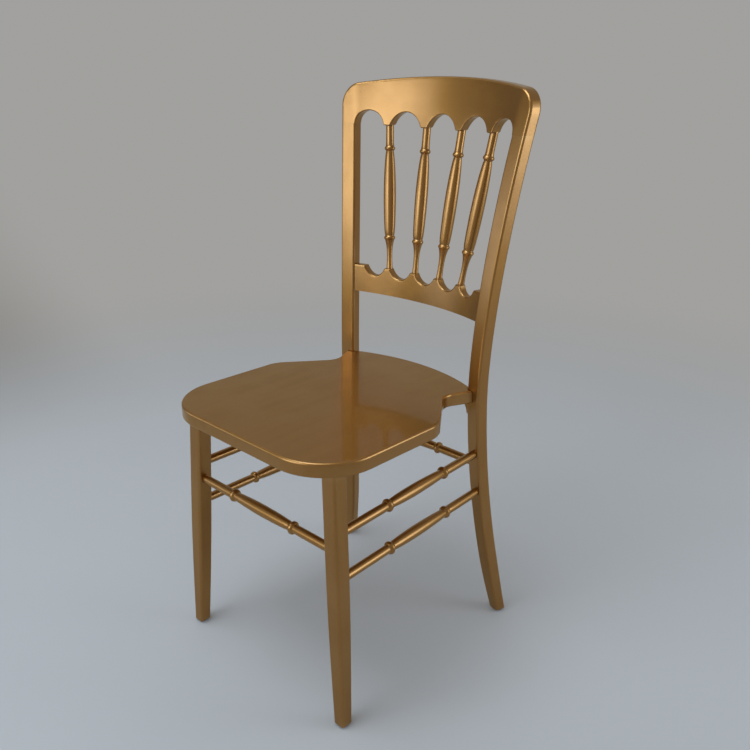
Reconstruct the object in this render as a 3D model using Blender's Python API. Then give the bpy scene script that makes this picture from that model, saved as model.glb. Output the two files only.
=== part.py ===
"""Wooden banqueting chair with a curved, spindled back and a flat seat panel.

Units are metres. +Z is up, the sitter faces -Y, and +X is the sitter's left.
The origin is on the floor, under the middle of the chair's outline.
"""

import math

import bmesh
import bpy
from mathutils import Matrix, Vector

# Heights, and the place of the back
CHAIR_HEIGHT = 0.915  # floor to the middle of the crest's top edge
SEAT_HEIGHT = 0.439  # floor to the seat's top face at the middle of its depth
SEAT_FALL = 0.021  # how much the seat drops towards the back, per metre
BACK_LINE_Y = 0.1447  # the posts' centre line at the seat, behind the origin
FIT_GAP = 0.0003  # clearance between pieces that touch

# Seat panel, with its setbacks measured forwards from the back line
SEAT_WIDTH = 0.378
SEAT_REACH = 0.389  # back line to the front edge
SEAT_TAIL = 0.030  # back line to the middle of the rear edge
SEAT_THICKNESS = 0.022
SEAT_EDGE_RADIUS = 0.004
SEAT_UNDER_CHAMFER = 0.002
SEAT_FRONT_CORNER = 0.090  # corner radius
SEAT_SHOULDER_SETBACK = 0.150
SEAT_SHOULDER_RADIUS = 0.045
SEAT_WAIST = 0.246  # width between the hollows ahead of the posts
SEAT_WAIST_SETBACK = 0.060
SEAT_WAIST_RADIUS = 0.028
EAR_BITE = 0.003  # how far the ear's outline runs into the post before it is notched

# Back posts, each one piece from foot to crest
POST_WIDTH = 0.0275
POST_DEPTH = 0.0228
POST_EDGE_RADIUS = 0.004
POST_TURN = math.radians(13.0)  # posts face a little towards the middle
POST_SPAN = 0.2956  # between post centres at the seat
CREST_SPAN = 0.3764  # between the post lines at the top of the chair
BACK_RAKE = 0.0518  # how far the post line leans back from seat to top
POST_SPREAD_POWER = 1.68  # how late the posts spread above the seat
POST_RAKE_POWER = 1.53  # how late they lean back
REAR_FOOT_SPAN = 0.3806
REAR_FOOT_SETBACK = 0.0372  # rear feet behind the back line
LEG_SWEEP_POWER = 1.85  # how late the rear legs sweep out below the seat
REAR_FOOT_WIDTH = 0.020
REAR_TAPER_HEIGHT = 0.130  # the rear legs taper below this height

# Front legs
FRONT_LEG_WIDTH = 0.0268
FRONT_FOOT_WIDTH = 0.020
LEG_EDGE_RADIUS = 0.005
FRONT_LEG_SIDE_INSET = 0.0346  # leg's centre in from the seat's side, at the underside
FRONT_LEG_INSET = 0.0522  # leg's centre back from the seat's front edge
FRONT_LEG_SPLAY = 0.0254  # how far the foot stands out to the side of the leg's top
FRONT_LEG_RAKE = 0.0156  # how far the foot stands ahead of the leg's top
FRONT_TENON_RADIUS = 0.009
FRONT_TENON_LENGTH = 0.014
FRONT_TAPER_HEIGHT = 0.260  # the front legs taper below this height

# Curve of the back, crest rail and lower rail
BACK_SWEEP = math.radians(23.5)  # half the arc between the posts
BACK_TILT = 0.10  # how much the curved boards drop towards their middles, per metre of curve
CREST_DEPTH = 0.078  # crest's height above the posts, at the middle of its top edge
CREST_THICKNESS = 0.018  # in the middle; the ends are as deep as the posts
CREST_CROWN = 0.016  # drop of the crest's top edge towards its ends
CREST_CORNER = 0.038  # radius of the crest's top corners
CREST_TOP_CHAMFER = 0.003
CREST_PITCH = 0.0733  # between cusps, along the curve
CREST_ARCH_RISE = 0.0225
CREST_ARCH_SWEEP = math.radians(135.0)  # the arcs between cusps; those next to the posts are half turns
CUSP_WIDTH = 0.0135
RAIL_CLEARANCE = 0.111  # seat to the lower rail's ends
RAIL_HEIGHT = 0.047
RAIL_THICKNESS = 0.015
RAIL_FORWARD = 0.0015  # lower rail's middle ahead of the posts' middle
RAIL_PITCH = 0.0537
RAIL_TOP_CHAMFER = 0.0015
RAIL_DIP = 0.0155  # depth of the hollows in the lower rail's top edge
RAIL_DIP_SWEEP = math.radians(120.0)
BUMP_WIDTH = 0.0115
END_BUMP_WIDTH = 0.020

# Turned spindles
SPINDLE_COUNT = 4
SPINDLE_SETBACK = 0.0018  # spindles' axes behind the middle of the boards
SPINDLE_NECK_RADIUS = 0.0048  # under the lower bead, also the round tenon at each end
SPINDLE_TENON_LENGTH = 0.013
SPINDLE_LOWER_BEAD = 0.053  # bead's centre above the lower rail
SPINDLE_LOWER_BEAD_RADIUS = 0.0096
SPINDLE_LOWER_GROOVE_RADIUS = 0.0080  # on each side of the lower bead
SPINDLE_UPPER_BEAD = 0.0385  # bead's centre below the crest
SPINDLE_UPPER_BEAD_RADIUS = 0.0088
SPINDLE_UPPER_GROOVE_RADIUS = 0.0064  # on each side of the upper bead
SPINDLE_BEAD_LENGTH = 0.009
SPINDLE_BEAD_MARGIN = 0.003  # from a bead to the body
SPINDLE_CONE_LENGTH = 0.009  # from the neck up to the lower bead
SPINDLE_LOW_RADIUS = 0.0092  # body just above the lower bead
SPINDLE_HIGH_RADIUS = 0.0078  # body just below the upper bead
SPINDLE_SWELL = 0.0023  # how much the body swells between them
SPINDLE_TOP_RADIUS = 0.0068  # between the upper bead and the crest
SPINDLE_SHOULDER_GAP = 0.0015  # the top's shoulder stops this far short of the crest
SPINDLE_SHOULDER_LENGTH = 0.004

# Turned stretchers, whose heights are taken on the legs' centre lines
STRETCHER_TENON_RADIUS = 0.0055
STRETCHER_END_RADIUS = 0.0072
STRETCHER_NECK_RADIUS = 0.0074  # on each side of a bead
STRETCHER_MIDDLE_RADIUS = 0.0095
STRETCHER_BEAD_RADIUS = 0.0096
STRETCHER_BEAD_LENGTH = 0.010
STRETCHER_BEAD_SHARE = 0.285  # bead's place along the stretcher, from an end
SIDE_FRONT_BEAD_SHARE = 0.322  # the same, from a side stretcher's front end
STRETCHER_STOP = 0.001  # tenons stop this far short of the leg's centre line
STRETCHER_SHOULDER_GAP = 0.0025  # the shoulders stop this far short of a front leg's face
STRETCHER_SHOULDER_LENGTH = 0.004
UPPER_SIDE_FRONT_HEIGHT = 0.3198
UPPER_SIDE_REAR_HEIGHT = 0.3207
LOWER_SIDE_FRONT_HEIGHT = 0.2471
LOWER_SIDE_REAR_HEIGHT = 0.2490
FRONT_STRETCHER_HEIGHT = 0.2943
REAR_STRETCHER_HEIGHT = 0.2985

# Dowels, seat brackets with their screws, and foot glides
DOWEL_RADIUS = 0.0035
DOWEL_HALF_LENGTH = 0.016
DOWEL_CHAMFER = 0.001
CREST_DOWEL_OFFSET = 0.0065  # each side of the post's centre
RAIL_DOWEL_MARGIN = 0.013  # from the lower rail's edges to its dowels
SEAT_DOWEL_SETBACK = 0.004  # ahead of the back line
BRACKET_REACH = 0.022
BRACKET_DROP = 0.024
BRACKET_LIP = 0.004
BRACKET_DEPTH = 0.014
BRACKET_SETBACK = 0.002  # bracket's middle ahead of the post's middle
SCREW_RADIUS = 0.002
SCREW_HEAD_RADIUS = 0.0038
SCREW_HEAD_HEIGHT = 0.0025
SCREW_BITE = 0.013  # how far the screw runs up into the seat
SCREW_REACH = 0.012  # from the post's inner face
SCREW_FORWARD = 0.002  # ahead of the bracket's middle, clear of the seat's rear edge
GLIDE_RADIUS = 0.008
GLIDE_HEIGHT = 0.004
GLIDE_CHAMFER = 0.001
GLIDE_SHANK_RADIUS = 0.002
GLIDE_SHANK_LENGTH = 0.012

# How finely round shapes are divided
ROUND_SIDES = 12
CORNER_STEPS = 2
EDGE_STEPS = 2
CHAMFER_STEPS = 1
OUTLINE_STEPS = 7
REAR_EDGE_STEPS = 14
POST_STATIONS = 20
LEG_STATIONS = 7
NOTCH_STATIONS = 3
ARCH_STEPS = 8
BEAD_STEPS = 4
SWELL_STEPS = 6
SHARP_ANGLE = math.radians(35.0)  # edges sharper than this are shaded as edges
TOUCH_DISTANCE = 1e-6  # points closer than this are one point

# Finishes: linear colour, roughness and metallic share
FINISHES = {
    "gold_lacquer": ((0.31, 0.19, 0.065), 0.32, 0.75),
    "bare_beech": ((0.52, 0.34, 0.19), 0.65, 0.0),
    "zinc_steel": ((0.55, 0.55, 0.57), 0.35, 1.0),
    "dark_nylon": ((0.03, 0.025, 0.02), 0.5, 0.0),
}

SIDES = {"left": 1, "right": -1}
CREST_BOTTOM = CHAIR_HEIGHT - CREST_DEPTH
RAIL_BOTTOM = SEAT_HEIGHT + RAIL_CLEARANCE
RAIL_TOP = RAIL_BOTTOM + RAIL_HEIGHT
FOOT_BOTTOM = GLIDE_HEIGHT + FIT_GAP


def finish(name):
    """Principled material with one linear colour."""
    colour, roughness, metallic = FINISHES[name]
    material = bpy.data.materials.new(name)
    material.use_nodes = True
    shader = material.node_tree.nodes["Principled BSDF"]
    shader.inputs["Base Color"].default_value = (*colour, 1.0)
    shader.inputs["Roughness"].default_value = roughness
    shader.inputs["Metallic"].default_value = metallic
    material.diffuse_color = (*colour, 1.0)
    return material


def place(name, mesh, material, frame=None):
    """Make an object of a bmesh, shaded smooth, and hang it under the chair's empty."""
    data = bpy.data.meshes.new(name)
    mesh.to_mesh(data)
    mesh.free()
    data.shade_smooth()
    data.set_sharp_from_angle(angle=SHARP_ANGLE)
    data.materials.append(material)
    item = bpy.data.objects.new(name, data)
    bpy.context.scene.collection.objects.link(item)
    item.parent = bpy.data.objects["chair"]
    item.matrix_local = frame or Matrix.Identity(4)
    return item


def cut(target, cutter):
    """Take a hidden cutter out of a piece."""
    cutter.hide_render = True
    cutter.display_type = "WIRE"
    modifier = target.modifiers.new(cutter.name, "BOOLEAN")
    modifier.operation = "DIFFERENCE"
    modifier.solver = "EXACT"
    modifier.object = cutter


def along(start, end):
    """Frame at start whose Z axis points to end."""
    turn = (end - start).to_track_quat("Z", "Y").to_matrix().to_4x4()
    return Matrix.Translation(start) @ turn


def turned(outline):
    """Solid of revolution about Z through (distance, radius) points, closed at both ends."""
    mesh = bmesh.new()
    points = [(outline[0][0], 0.0), *outline, (outline[-1][0], 0.0)]
    verts = [mesh.verts.new((radius, 0.0, distance)) for distance, radius in points]
    edges = [mesh.edges.new(pair) for pair in zip(verts, verts[1:])]
    bmesh.ops.spin(
        mesh,
        geom=verts + edges,
        cent=(0.0, 0.0, 0.0),
        axis=(0.0, 0.0, 1.0),
        angle=2.0 * math.pi,
        steps=ROUND_SIDES,
        use_merge=True,
    )
    bmesh.ops.remove_doubles(mesh, verts=mesh.verts, dist=TOUCH_DISTANCE)
    bmesh.ops.recalc_face_normals(mesh, faces=mesh.faces)
    return mesh


def skin(rings):
    """Closed solid through a row of rings that have the same number of points."""
    mesh = bmesh.new()
    loops = [[mesh.verts.new(point) for point in ring] for ring in rings]
    for near, far in zip(loops, loops[1:]):
        for index, corner in enumerate(near):
            following = (index + 1) % len(near)
            mesh.faces.new((corner, near[following], far[following], far[index]))
    mesh.faces.new(reversed(loops[0]))
    mesh.faces.new(loops[-1])
    bmesh.ops.recalc_face_normals(mesh, faces=mesh.faces)
    return mesh


def bore(target, frame, start, stop, radius):
    """Drill a round hole into a piece, from start to stop along a frame's Z axis."""
    hole = turned([(start, radius), (stop, radius)])
    cut(target, place(f"{target.name}_bore", hole, target.data.materials[0], frame))


def evenly(first, last, steps):
    """Evenly spaced values from first to last, both included."""
    return [first + (last - first) * step / steps for step in range(steps + 1)]


def rounded_section(width, depth, radius):
    """Rectangle with rounded corners, as (across, rearward) points round its middle."""
    points = []
    for quarter, (sign_x, sign_y) in enumerate(((1, 1), (-1, 1), (-1, -1), (1, -1))):
        for angle in evenly(quarter * math.pi / 2, (quarter + 1) * math.pi / 2, CORNER_STEPS):
            across = sign_x * (width / 2 - radius) + radius * math.cos(angle)
            rearward = sign_y * (depth / 2 - radius) + radius * math.sin(angle)
            points.append((across, rearward))
    return points


def taper(full, foot, height, start):
    """Width of a leg at a height: full above the taper's start, easing to the foot's width at the floor."""
    share = min(height / start, 1.0)
    return foot + (full - foot) * math.sin(share * math.pi / 2)


def seat_top(y):
    """Height of the seat's top face, which falls towards the back."""
    middle = BACK_LINE_Y - SEAT_REACH / 2
    return SEAT_HEIGHT - SEAT_FALL * (y - middle)


def seat_under(y):
    """Height of the seat's underside."""
    return seat_top(y) - SEAT_THICKNESS


def post_centre(side, height):
    """Centre of a back post, which stands upright at the seat and sweeps out above and below it."""
    if height >= SEAT_HEIGHT:
        share = (height - SEAT_HEIGHT) / (CHAIR_HEIGHT - SEAT_HEIGHT)
        spread = (CREST_SPAN - POST_SPAN) / 2 * share**POST_SPREAD_POWER
        rake = BACK_RAKE * share**POST_RAKE_POWER
    else:
        sweep = ((SEAT_HEIGHT - height) / SEAT_HEIGHT) ** LEG_SWEEP_POWER
        spread = (REAR_FOOT_SPAN - POST_SPAN) / 2 * sweep
        rake = REAR_FOOT_SETBACK * sweep
    return Vector((side * (POST_SPAN / 2 + spread), BACK_LINE_Y + rake, height))


def post_across(side):
    """Outward direction along a post's width."""
    return Vector((side * math.cos(POST_TURN), -math.sin(POST_TURN), 0.0))


def post_rearward(side):
    """Rearward direction along a post's depth."""
    return Vector((side * math.sin(POST_TURN), math.cos(POST_TURN), 0.0))


def inner_face(side, height):
    """Middle of a post's inner face."""
    return post_centre(side, height) - post_across(side) * POST_WIDTH / 2


def front_leg_centre(side, height):
    """Centre of a straight, splayed front leg."""
    below_seat = 1.0 - height / (SEAT_HEIGHT - SEAT_THICKNESS)
    half_span = SEAT_WIDTH / 2 - FRONT_LEG_SIDE_INSET + FRONT_LEG_SPLAY * below_seat
    reach = SEAT_REACH - FRONT_LEG_INSET + FRONT_LEG_RAKE * below_seat
    return Vector((side * half_span, BACK_LINE_Y - reach, height))


def back_length(height):
    """Half the length of the back's curve between the posts, at a height."""
    return inner_face(1, height).x / math.sin(BACK_SWEEP) * BACK_SWEEP


def back_point(share, height, offset, beyond=0.0):
    """Point of the curved back.

    share runs from -1 at the right post's inner face to 1 at the left one, offset is the
    distance behind the middle of the thickness, and beyond runs on past the inner face.
    """
    edge = inner_face(1, height)
    radius = edge.x / math.sin(BACK_SWEEP)
    angle = share * BACK_SWEEP
    x = radius * math.sin(angle) + offset * math.sin(share * POST_TURN)
    y = edge.y + radius * (math.cos(angle) - math.cos(BACK_SWEEP))
    y += offset * math.cos(share * POST_TURN)
    return Vector((x, y, height)) + post_across(math.copysign(1, share)) * beyond


def back_drop(share, height):
    """How far a curved board drops from its ends, because the back leans."""
    return BACK_TILT * (back_point(share, height, 0.0).y - inner_face(1, height).y)


def arch(first, last, rise, sweep):
    """(place, height) points of an arc of a sweep between two places, stretched to a rise."""
    middle, half = (first + last) / 2, (last - first) / 2
    radius, depth = half / math.sin(sweep / 2), half / math.tan(sweep / 2)
    stretch = rise / (radius - depth)
    return [
        (middle + radius * math.sin(angle), stretch * (radius * math.cos(angle) - depth))
        for angle in evenly(-sweep / 2, sweep / 2, ARCH_STEPS)
    ]


def scallops(pitch, tooth_width, end):
    """(first, last) places of the arches between the teeth, and between the outer teeth and the ends."""
    teeth = [(index - (SPINDLE_COUNT - 1) / 2) * pitch for index in range(SPINDLE_COUNT)]
    starts = [-end, *(tooth + tooth_width / 2 for tooth in teeth)]
    stops = [*(tooth - tooth_width / 2 for tooth in teeth), end]
    return list(zip(starts, stops))


def spindle_ends(index):
    """Where a spindle's axis meets the lower rail's top and the crest's bottom."""
    step = index - (SPINDLE_COUNT - 1) / 2
    low_share = step * RAIL_PITCH / back_length(RAIL_TOP)
    high_share = step * CREST_PITCH / back_length(CREST_BOTTOM)
    low_place = RAIL_TOP - back_drop(low_share, RAIL_TOP)
    high_place = CREST_BOTTOM - back_drop(high_share, CREST_BOTTOM)
    low = back_point(low_share, low_place, SPINDLE_SETBACK - RAIL_FORWARD)
    high = back_point(high_share, high_place, SPINDLE_SETBACK)
    return low, high


def bead(centre, length, foot_radius, radius):
    """Half-round bead of a turned profile."""
    return [
        (centre - math.cos(angle) * length / 2, foot_radius + (radius - foot_radius) * math.sin(angle))
        for angle in evenly(0, math.pi, BEAD_STEPS)
    ]


def swelling(start, stop, first_radius, last_radius, swell):
    """Stretch of a turned profile that swells between its ends."""
    return [
        (
            start + (stop - start) * share,
            first_radius + (last_radius - first_radius) * share + swell * math.sin(math.pi * share),
        )
        for share in evenly(0.0, 1.0, SWELL_STEPS)
    ]


def rounded_outline(corners):
    """Closed outline through (x, y, radius) corners, each rounded by an arc of its radius."""
    points = []
    for index, (x, y, radius) in enumerate(corners):
        corner = Vector((x, y))
        back = (Vector(corners[index - 1][:2]) - corner).normalized()
        ahead = (Vector(corners[(index + 1) % len(corners)][:2]) - corner).normalized()
        if radius == 0.0:
            points.append(corner)
            continue
        half_angle = back.angle(ahead) / 2
        middle = corner + (back + ahead).normalized() * radius / math.sin(half_angle)
        start = corner + back * radius / math.tan(half_angle) - middle
        stop = corner + ahead * radius / math.tan(half_angle) - middle
        turn = start.angle_signed(stop)
        for share in evenly(0.0, 1.0, OUTLINE_STEPS):
            points.append(middle + Matrix.Rotation(-turn * share, 2) @ start)
    return points


def seat_outline():
    """Plan of the seat: round front corners, hollows ahead of the posts and a curved rear edge."""
    half = SEAT_WIDTH / 2
    front = BACK_LINE_Y - SEAT_REACH
    shoulder = BACK_LINE_Y - SEAT_SHOULDER_SETBACK
    waist = BACK_LINE_Y - SEAT_WAIST_SETBACK
    hold = post_centre(1, SEAT_HEIGHT)
    tip = hold - post_rearward(1) * (POST_DEPTH / 2 - EAR_BITE)
    end = inner_face(1, SEAT_HEIGHT) - post_rearward(1) * EAR_BITE + post_across(1) * EAR_BITE
    sag = BACK_LINE_Y + SEAT_TAIL - end.y
    radius = (end.x**2 + sag**2) / (2 * sag)
    sweep = math.asin(end.x / radius)
    left = [
        (half, front, SEAT_FRONT_CORNER),
        (half, shoulder, SEAT_SHOULDER_RADIUS),
        (SEAT_WAIST / 2, waist, SEAT_WAIST_RADIUS),
        (tip.x, tip.y, 0.0),
        (hold.x, hold.y, 0.0),
    ]
    rear = [
        (radius * math.sin(angle), BACK_LINE_Y + SEAT_TAIL - radius * (1.0 - math.cos(angle)), 0.0)
        for angle in evenly(sweep, -sweep, REAR_EDGE_STEPS)
    ]
    right = [(-x, y, corner) for x, y, corner in reversed(left)]
    return rounded_outline(left + rear + right)


def seat_panel(gold):
    """Flat panel with rounded edges, laid on the seat's slope."""
    mesh = bmesh.new()
    rim = [mesh.verts.new((point.x, point.y, -SEAT_THICKNESS)) for point in seat_outline()]
    base = mesh.faces.new(rim)
    raised = bmesh.ops.extrude_face_region(mesh, geom=[base])["geom"]
    top = [item for item in raised if isinstance(item, bmesh.types.BMVert)]
    bmesh.ops.translate(mesh, verts=top, vec=(0.0, 0.0, SEAT_THICKNESS))
    bmesh.ops.recalc_face_normals(mesh, faces=mesh.faces)
    for level, width, segments in (
        (0.0, SEAT_EDGE_RADIUS, EDGE_STEPS),
        (-SEAT_THICKNESS, SEAT_UNDER_CHAMFER, CHAMFER_STEPS),
    ):
        edges = []
        for edge in mesh.edges:
            if all(abs(vert.co.z - level) < TOUCH_DISTANCE for vert in edge.verts):
                edges.append(edge)
        bmesh.ops.bevel(
            mesh,
            geom=edges,
            offset=width,
            segments=segments,
            profile=0.5,
            affect="EDGES",
            material=-1,
        )
    for vert in mesh.verts:
        vert.co.z += seat_top(vert.co.y)
    return place("seat_panel", mesh, gold)


def post_rings(side, heights, swell=0.0):
    """Horizontal sections of a back post, grown all round by swell."""
    rings = []
    for height in heights:
        width = taper(POST_WIDTH, REAR_FOOT_WIDTH, height, REAR_TAPER_HEIGHT) + 2 * swell
        depth = taper(POST_DEPTH, REAR_FOOT_WIDTH, height, REAR_TAPER_HEIGHT) + 2 * swell
        section = rounded_section(width, depth, POST_EDGE_RADIUS + swell)
        centre = post_centre(side, height)
        rings.append([centre + post_across(side) * a + post_rearward(side) * r for a, r in section])
    return rings


def back_post(name, side, gold):
    """Post from the foot to the underside of the crest."""
    heights = evenly(FOOT_BOTTOM, CREST_BOTTOM - FIT_GAP, POST_STATIONS)
    return place(name, skin(post_rings(side, heights)), gold)


def notch_seat(seat, side):
    """Cut the seat's ear to fit round a post."""
    heights = evenly(seat_under(BACK_LINE_Y) - SEAT_THICKNESS, SEAT_HEIGHT + SEAT_THICKNESS, NOTCH_STATIONS)
    cutter = skin(post_rings(side, heights, FIT_GAP))
    cut(seat, place("seat_panel_notch", cutter, seat.data.materials[0]))


def front_leg(name, side, gold, seat):
    """Square tapering leg with a round tenon that enters the seat's underside."""
    rings = []
    for height in evenly(FOOT_BOTTOM, SEAT_HEIGHT - SEAT_THICKNESS, LEG_STATIONS):
        width = taper(FRONT_LEG_WIDTH, FRONT_FOOT_WIDTH, height, FRONT_TAPER_HEIGHT)
        centre = front_leg_centre(side, height)
        section = rounded_section(width, width, LEG_EDGE_RADIUS)
        rings.append([centre + Vector((across, rearward, 0.0)) for across, rearward in section])
    for point in rings[-1]:
        point.z = seat_under(point.y) - FIT_GAP
    shoulder = front_leg_centre(side, SEAT_HEIGHT - SEAT_THICKNESS)
    shoulder.z = seat_under(shoulder.y)
    frame = along(front_leg_centre(side, 0.0), shoulder)
    tenon = turned([(-FRONT_TENON_LENGTH, FRONT_TENON_RADIUS), (FRONT_TENON_LENGTH, FRONT_TENON_RADIUS)])
    frame = Matrix.Translation(shoulder) @ frame.to_3x3().to_4x4()
    leg = place(name, skin(rings), gold)
    stub = place(f"{name}_tenon", tenon, gold, frame)
    stub.hide_render = True
    stub.display_type = "WIRE"
    join = leg.modifiers.new("tenon", "BOOLEAN")
    join.operation = "UNION"
    join.solver = "EXACT"
    join.object = stub
    bore(seat, frame, -FRONT_TENON_LENGTH, FRONT_TENON_LENGTH + FIT_GAP, FRONT_TENON_RADIUS + FIT_GAP)
    return leg


def board_ring(share, beyond, low, high, front, rear, chamfer):
    """Section of a curved board from its lower to its upper edge, with the upper edges taken off."""
    outline = (
        (front, low),
        (front, high - chamfer),
        (front + chamfer, high),
        (rear - chamfer, high),
        (rear, high - chamfer),
        (rear, low),
    )
    return [back_point(share, height, offset, beyond) for offset, height in outline]


def rounding(distance, end, radius):
    """How far a quarter-round corner has fallen away, at a distance along an edge that stops at end."""
    into_corner = min(max(0.0, distance - (end - radius)), radius)
    return radius - math.sqrt(radius**2 - into_corner**2)


def crest_top(place_along, end):
    """Height of the crest's top edge: crowned in the middle and rounded at its corners."""
    crown = CHAIR_HEIGHT - CREST_CROWN * (place_along / end) ** 2
    return crown - rounding(abs(place_along), end, CREST_CORNER)


def crest_rail(gold):
    """Board over the posts, curved in plan, with arches cut between the spindles."""
    spring = back_length(CREST_BOTTOM)
    end = spring + POST_WIDTH
    corner = [
        end - CREST_CORNER * (1.0 - math.sin(angle)) for angle in evenly(0, math.pi / 2, ARCH_STEPS)
    ]
    outer = [(place_along, 0.0) for place_along in corner if place_along > spring]
    stations = [(-place_along, rise) for place_along, rise in reversed(outer)]
    for first, last in scallops(CREST_PITCH, CUSP_WIDTH, spring):
        sweep = math.pi if spring in (-first, last) else CREST_ARCH_SWEEP
        stations += arch(first, last, CREST_ARCH_RISE, sweep)
    stations += outer
    rings = []
    for place_along, rise in stations:
        share = max(-1.0, min(1.0, place_along / spring))
        beyond = max(0.0, abs(place_along) - spring)
        half = (CREST_THICKNESS + (POST_DEPTH - CREST_THICKNESS) * share**2) / 2
        half -= rounding(beyond, POST_WIDTH, POST_EDGE_RADIUS)
        low = CREST_BOTTOM + rise - back_drop(share, CREST_BOTTOM)
        high = crest_top(place_along, end)
        rings.append(board_ring(share, beyond, low, high, -half, half, CREST_TOP_CHAMFER))
    return place("crest_rail", skin(rings), gold)


def lower_back_rail(gold):
    """Board between the posts, curved in plan, with hollows in its top edge between the spindles."""
    end = back_length(RAIL_TOP) - FIT_GAP
    front = -RAIL_FORWARD - RAIL_THICKNESS / 2
    stations = [(-end, 0.0)]
    for first, last in scallops(RAIL_PITCH, BUMP_WIDTH, end - END_BUMP_WIDTH):
        stations += arch(first, last, RAIL_DIP, RAIL_DIP_SWEEP)
    stations.append((end, 0.0))
    rings = []
    for place_along, dip in stations:
        share = place_along / back_length(RAIL_TOP)
        drop = back_drop(share, RAIL_TOP)
        low, high = RAIL_BOTTOM - drop, RAIL_TOP - dip - drop
        rings.append(board_ring(share, 0.0, low, high, front, front + RAIL_THICKNESS, RAIL_TOP_CHAMFER))
    return place("lower_back_rail", skin(rings), gold)


def back_spindle(index, gold, rail, crest):
    """Turned spindle with a bead near each end, let into the lower rail and the crest."""
    low, high = spindle_ends(index)
    length = (high - low).length
    frame = along(low, high)
    neck = SPINDLE_NECK_RADIUS
    lower = bead(
        SPINDLE_LOWER_BEAD,
        SPINDLE_BEAD_LENGTH,
        SPINDLE_LOWER_GROOVE_RADIUS,
        SPINDLE_LOWER_BEAD_RADIUS,
    )
    upper = bead(
        length - SPINDLE_UPPER_BEAD,
        SPINDLE_BEAD_LENGTH,
        SPINDLE_UPPER_GROOVE_RADIUS,
        SPINDLE_UPPER_BEAD_RADIUS,
    )
    body = swelling(
        lower[-1][0] + SPINDLE_BEAD_MARGIN,
        upper[0][0] - SPINDLE_BEAD_MARGIN,
        SPINDLE_LOW_RADIUS,
        SPINDLE_HIGH_RADIUS,
        SPINDLE_SWELL,
    )
    first, last = -SPINDLE_TENON_LENGTH, length + SPINDLE_TENON_LENGTH
    shoulder = length - SPINDLE_SHOULDER_GAP
    foot = [(first, neck), (lower[0][0] - SPINDLE_CONE_LENGTH, neck)]
    head = [(shoulder - SPINDLE_SHOULDER_LENGTH, SPINDLE_TOP_RADIUS), (shoulder, neck), (last, neck)]
    outline = [*foot, *lower, *body, *upper, *head]
    spindle = place(f"back_spindle_{index + 1}", turned(outline), gold, frame)
    hole = neck + FIT_GAP
    bore(rail, frame, first - FIT_GAP, SPINDLE_TENON_LENGTH, hole)
    bore(crest, frame, length - SPINDLE_TENON_LENGTH, last + FIT_GAP, hole)
    return spindle


def stretcher_end(length, bead_share):
    """One end of a stretcher's profile, from the tenon to the bead."""
    shoulder = FRONT_LEG_WIDTH / 2 + STRETCHER_SHOULDER_GAP
    grip = bead(
        length * bead_share,
        STRETCHER_BEAD_LENGTH,
        STRETCHER_NECK_RADIUS,
        STRETCHER_BEAD_RADIUS,
    )
    return [
        (STRETCHER_STOP, STRETCHER_TENON_RADIUS),
        (shoulder, STRETCHER_TENON_RADIUS),
        (shoulder + STRETCHER_SHOULDER_LENGTH, STRETCHER_END_RADIUS),
        *grip,
    ]


def stretcher(name, start, end, gold, start_leg, end_leg, start_share):
    """Turned stretcher between two legs' centre lines, let into both by round tenons."""
    length = (end - start).length
    frame = along(start, end)
    near = stretcher_end(length, start_share)
    rear = stretcher_end(length, STRETCHER_BEAD_SHARE)
    far = [(length - distance, radius) for distance, radius in reversed(rear)]
    swell = STRETCHER_MIDDLE_RADIUS - STRETCHER_NECK_RADIUS
    body = swelling(near[-1][0], far[0][0], STRETCHER_NECK_RADIUS, STRETCHER_NECK_RADIUS, swell)
    bar = place(name, turned([*near, *body[1:-1], *far]), gold, frame)
    hole = STRETCHER_TENON_RADIUS + FIT_GAP
    bore(start_leg, frame, STRETCHER_STOP - FIT_GAP, FRONT_LEG_WIDTH, hole)
    bore(end_leg, frame, length - FRONT_LEG_WIDTH, length - STRETCHER_STOP + FIT_GAP, hole)
    return bar


def dowel(name, centre, direction, beech, pieces):
    """Glued dowel across the joint between two pieces."""
    frame = along(centre, centre + direction)
    half, tip = DOWEL_HALF_LENGTH, DOWEL_RADIUS - DOWEL_CHAMFER
    outline = [
        (-half, tip),
        (-half + DOWEL_CHAMFER, DOWEL_RADIUS),
        (half - DOWEL_CHAMFER, DOWEL_RADIUS),
        (half, tip),
    ]
    for piece in pieces:
        bore(piece, frame, -half - FIT_GAP, half + FIT_GAP, DOWEL_RADIUS + FIT_GAP)
    return place(name, turned(outline), beech, frame)


def seat_bracket(name, side, gold):
    """Small block with a hollow face, under the seat's ear and against the post."""
    centre = seat_under(inner_face(side, SEAT_HEIGHT).y)
    profile = [(0.0, 0.0), (BRACKET_REACH, 0.0), (BRACKET_REACH, -BRACKET_LIP)]
    for angle in evenly(0, math.pi / 2, ARCH_STEPS)[1:-1]:
        across = BRACKET_REACH - (BRACKET_REACH - BRACKET_LIP) * math.sin(angle)
        profile.append((across, -BRACKET_DROP + (BRACKET_DROP - BRACKET_LIP) * math.cos(angle)))
    profile += [(BRACKET_LIP, -BRACKET_DROP), (0.0, -BRACKET_DROP)]
    rings = []
    for rearward in (-BRACKET_SETBACK - BRACKET_DEPTH / 2, -BRACKET_SETBACK + BRACKET_DEPTH / 2):
        ring = []
        for inward, drop in profile:
            point = inner_face(side, centre + drop) - post_across(side) * (inward + FIT_GAP)
            point += post_rearward(side) * rearward
            point.z = seat_under(point.y) - FIT_GAP + drop
            ring.append(point)
        rings.append(ring)
    return place(name, skin(rings), gold)


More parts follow.
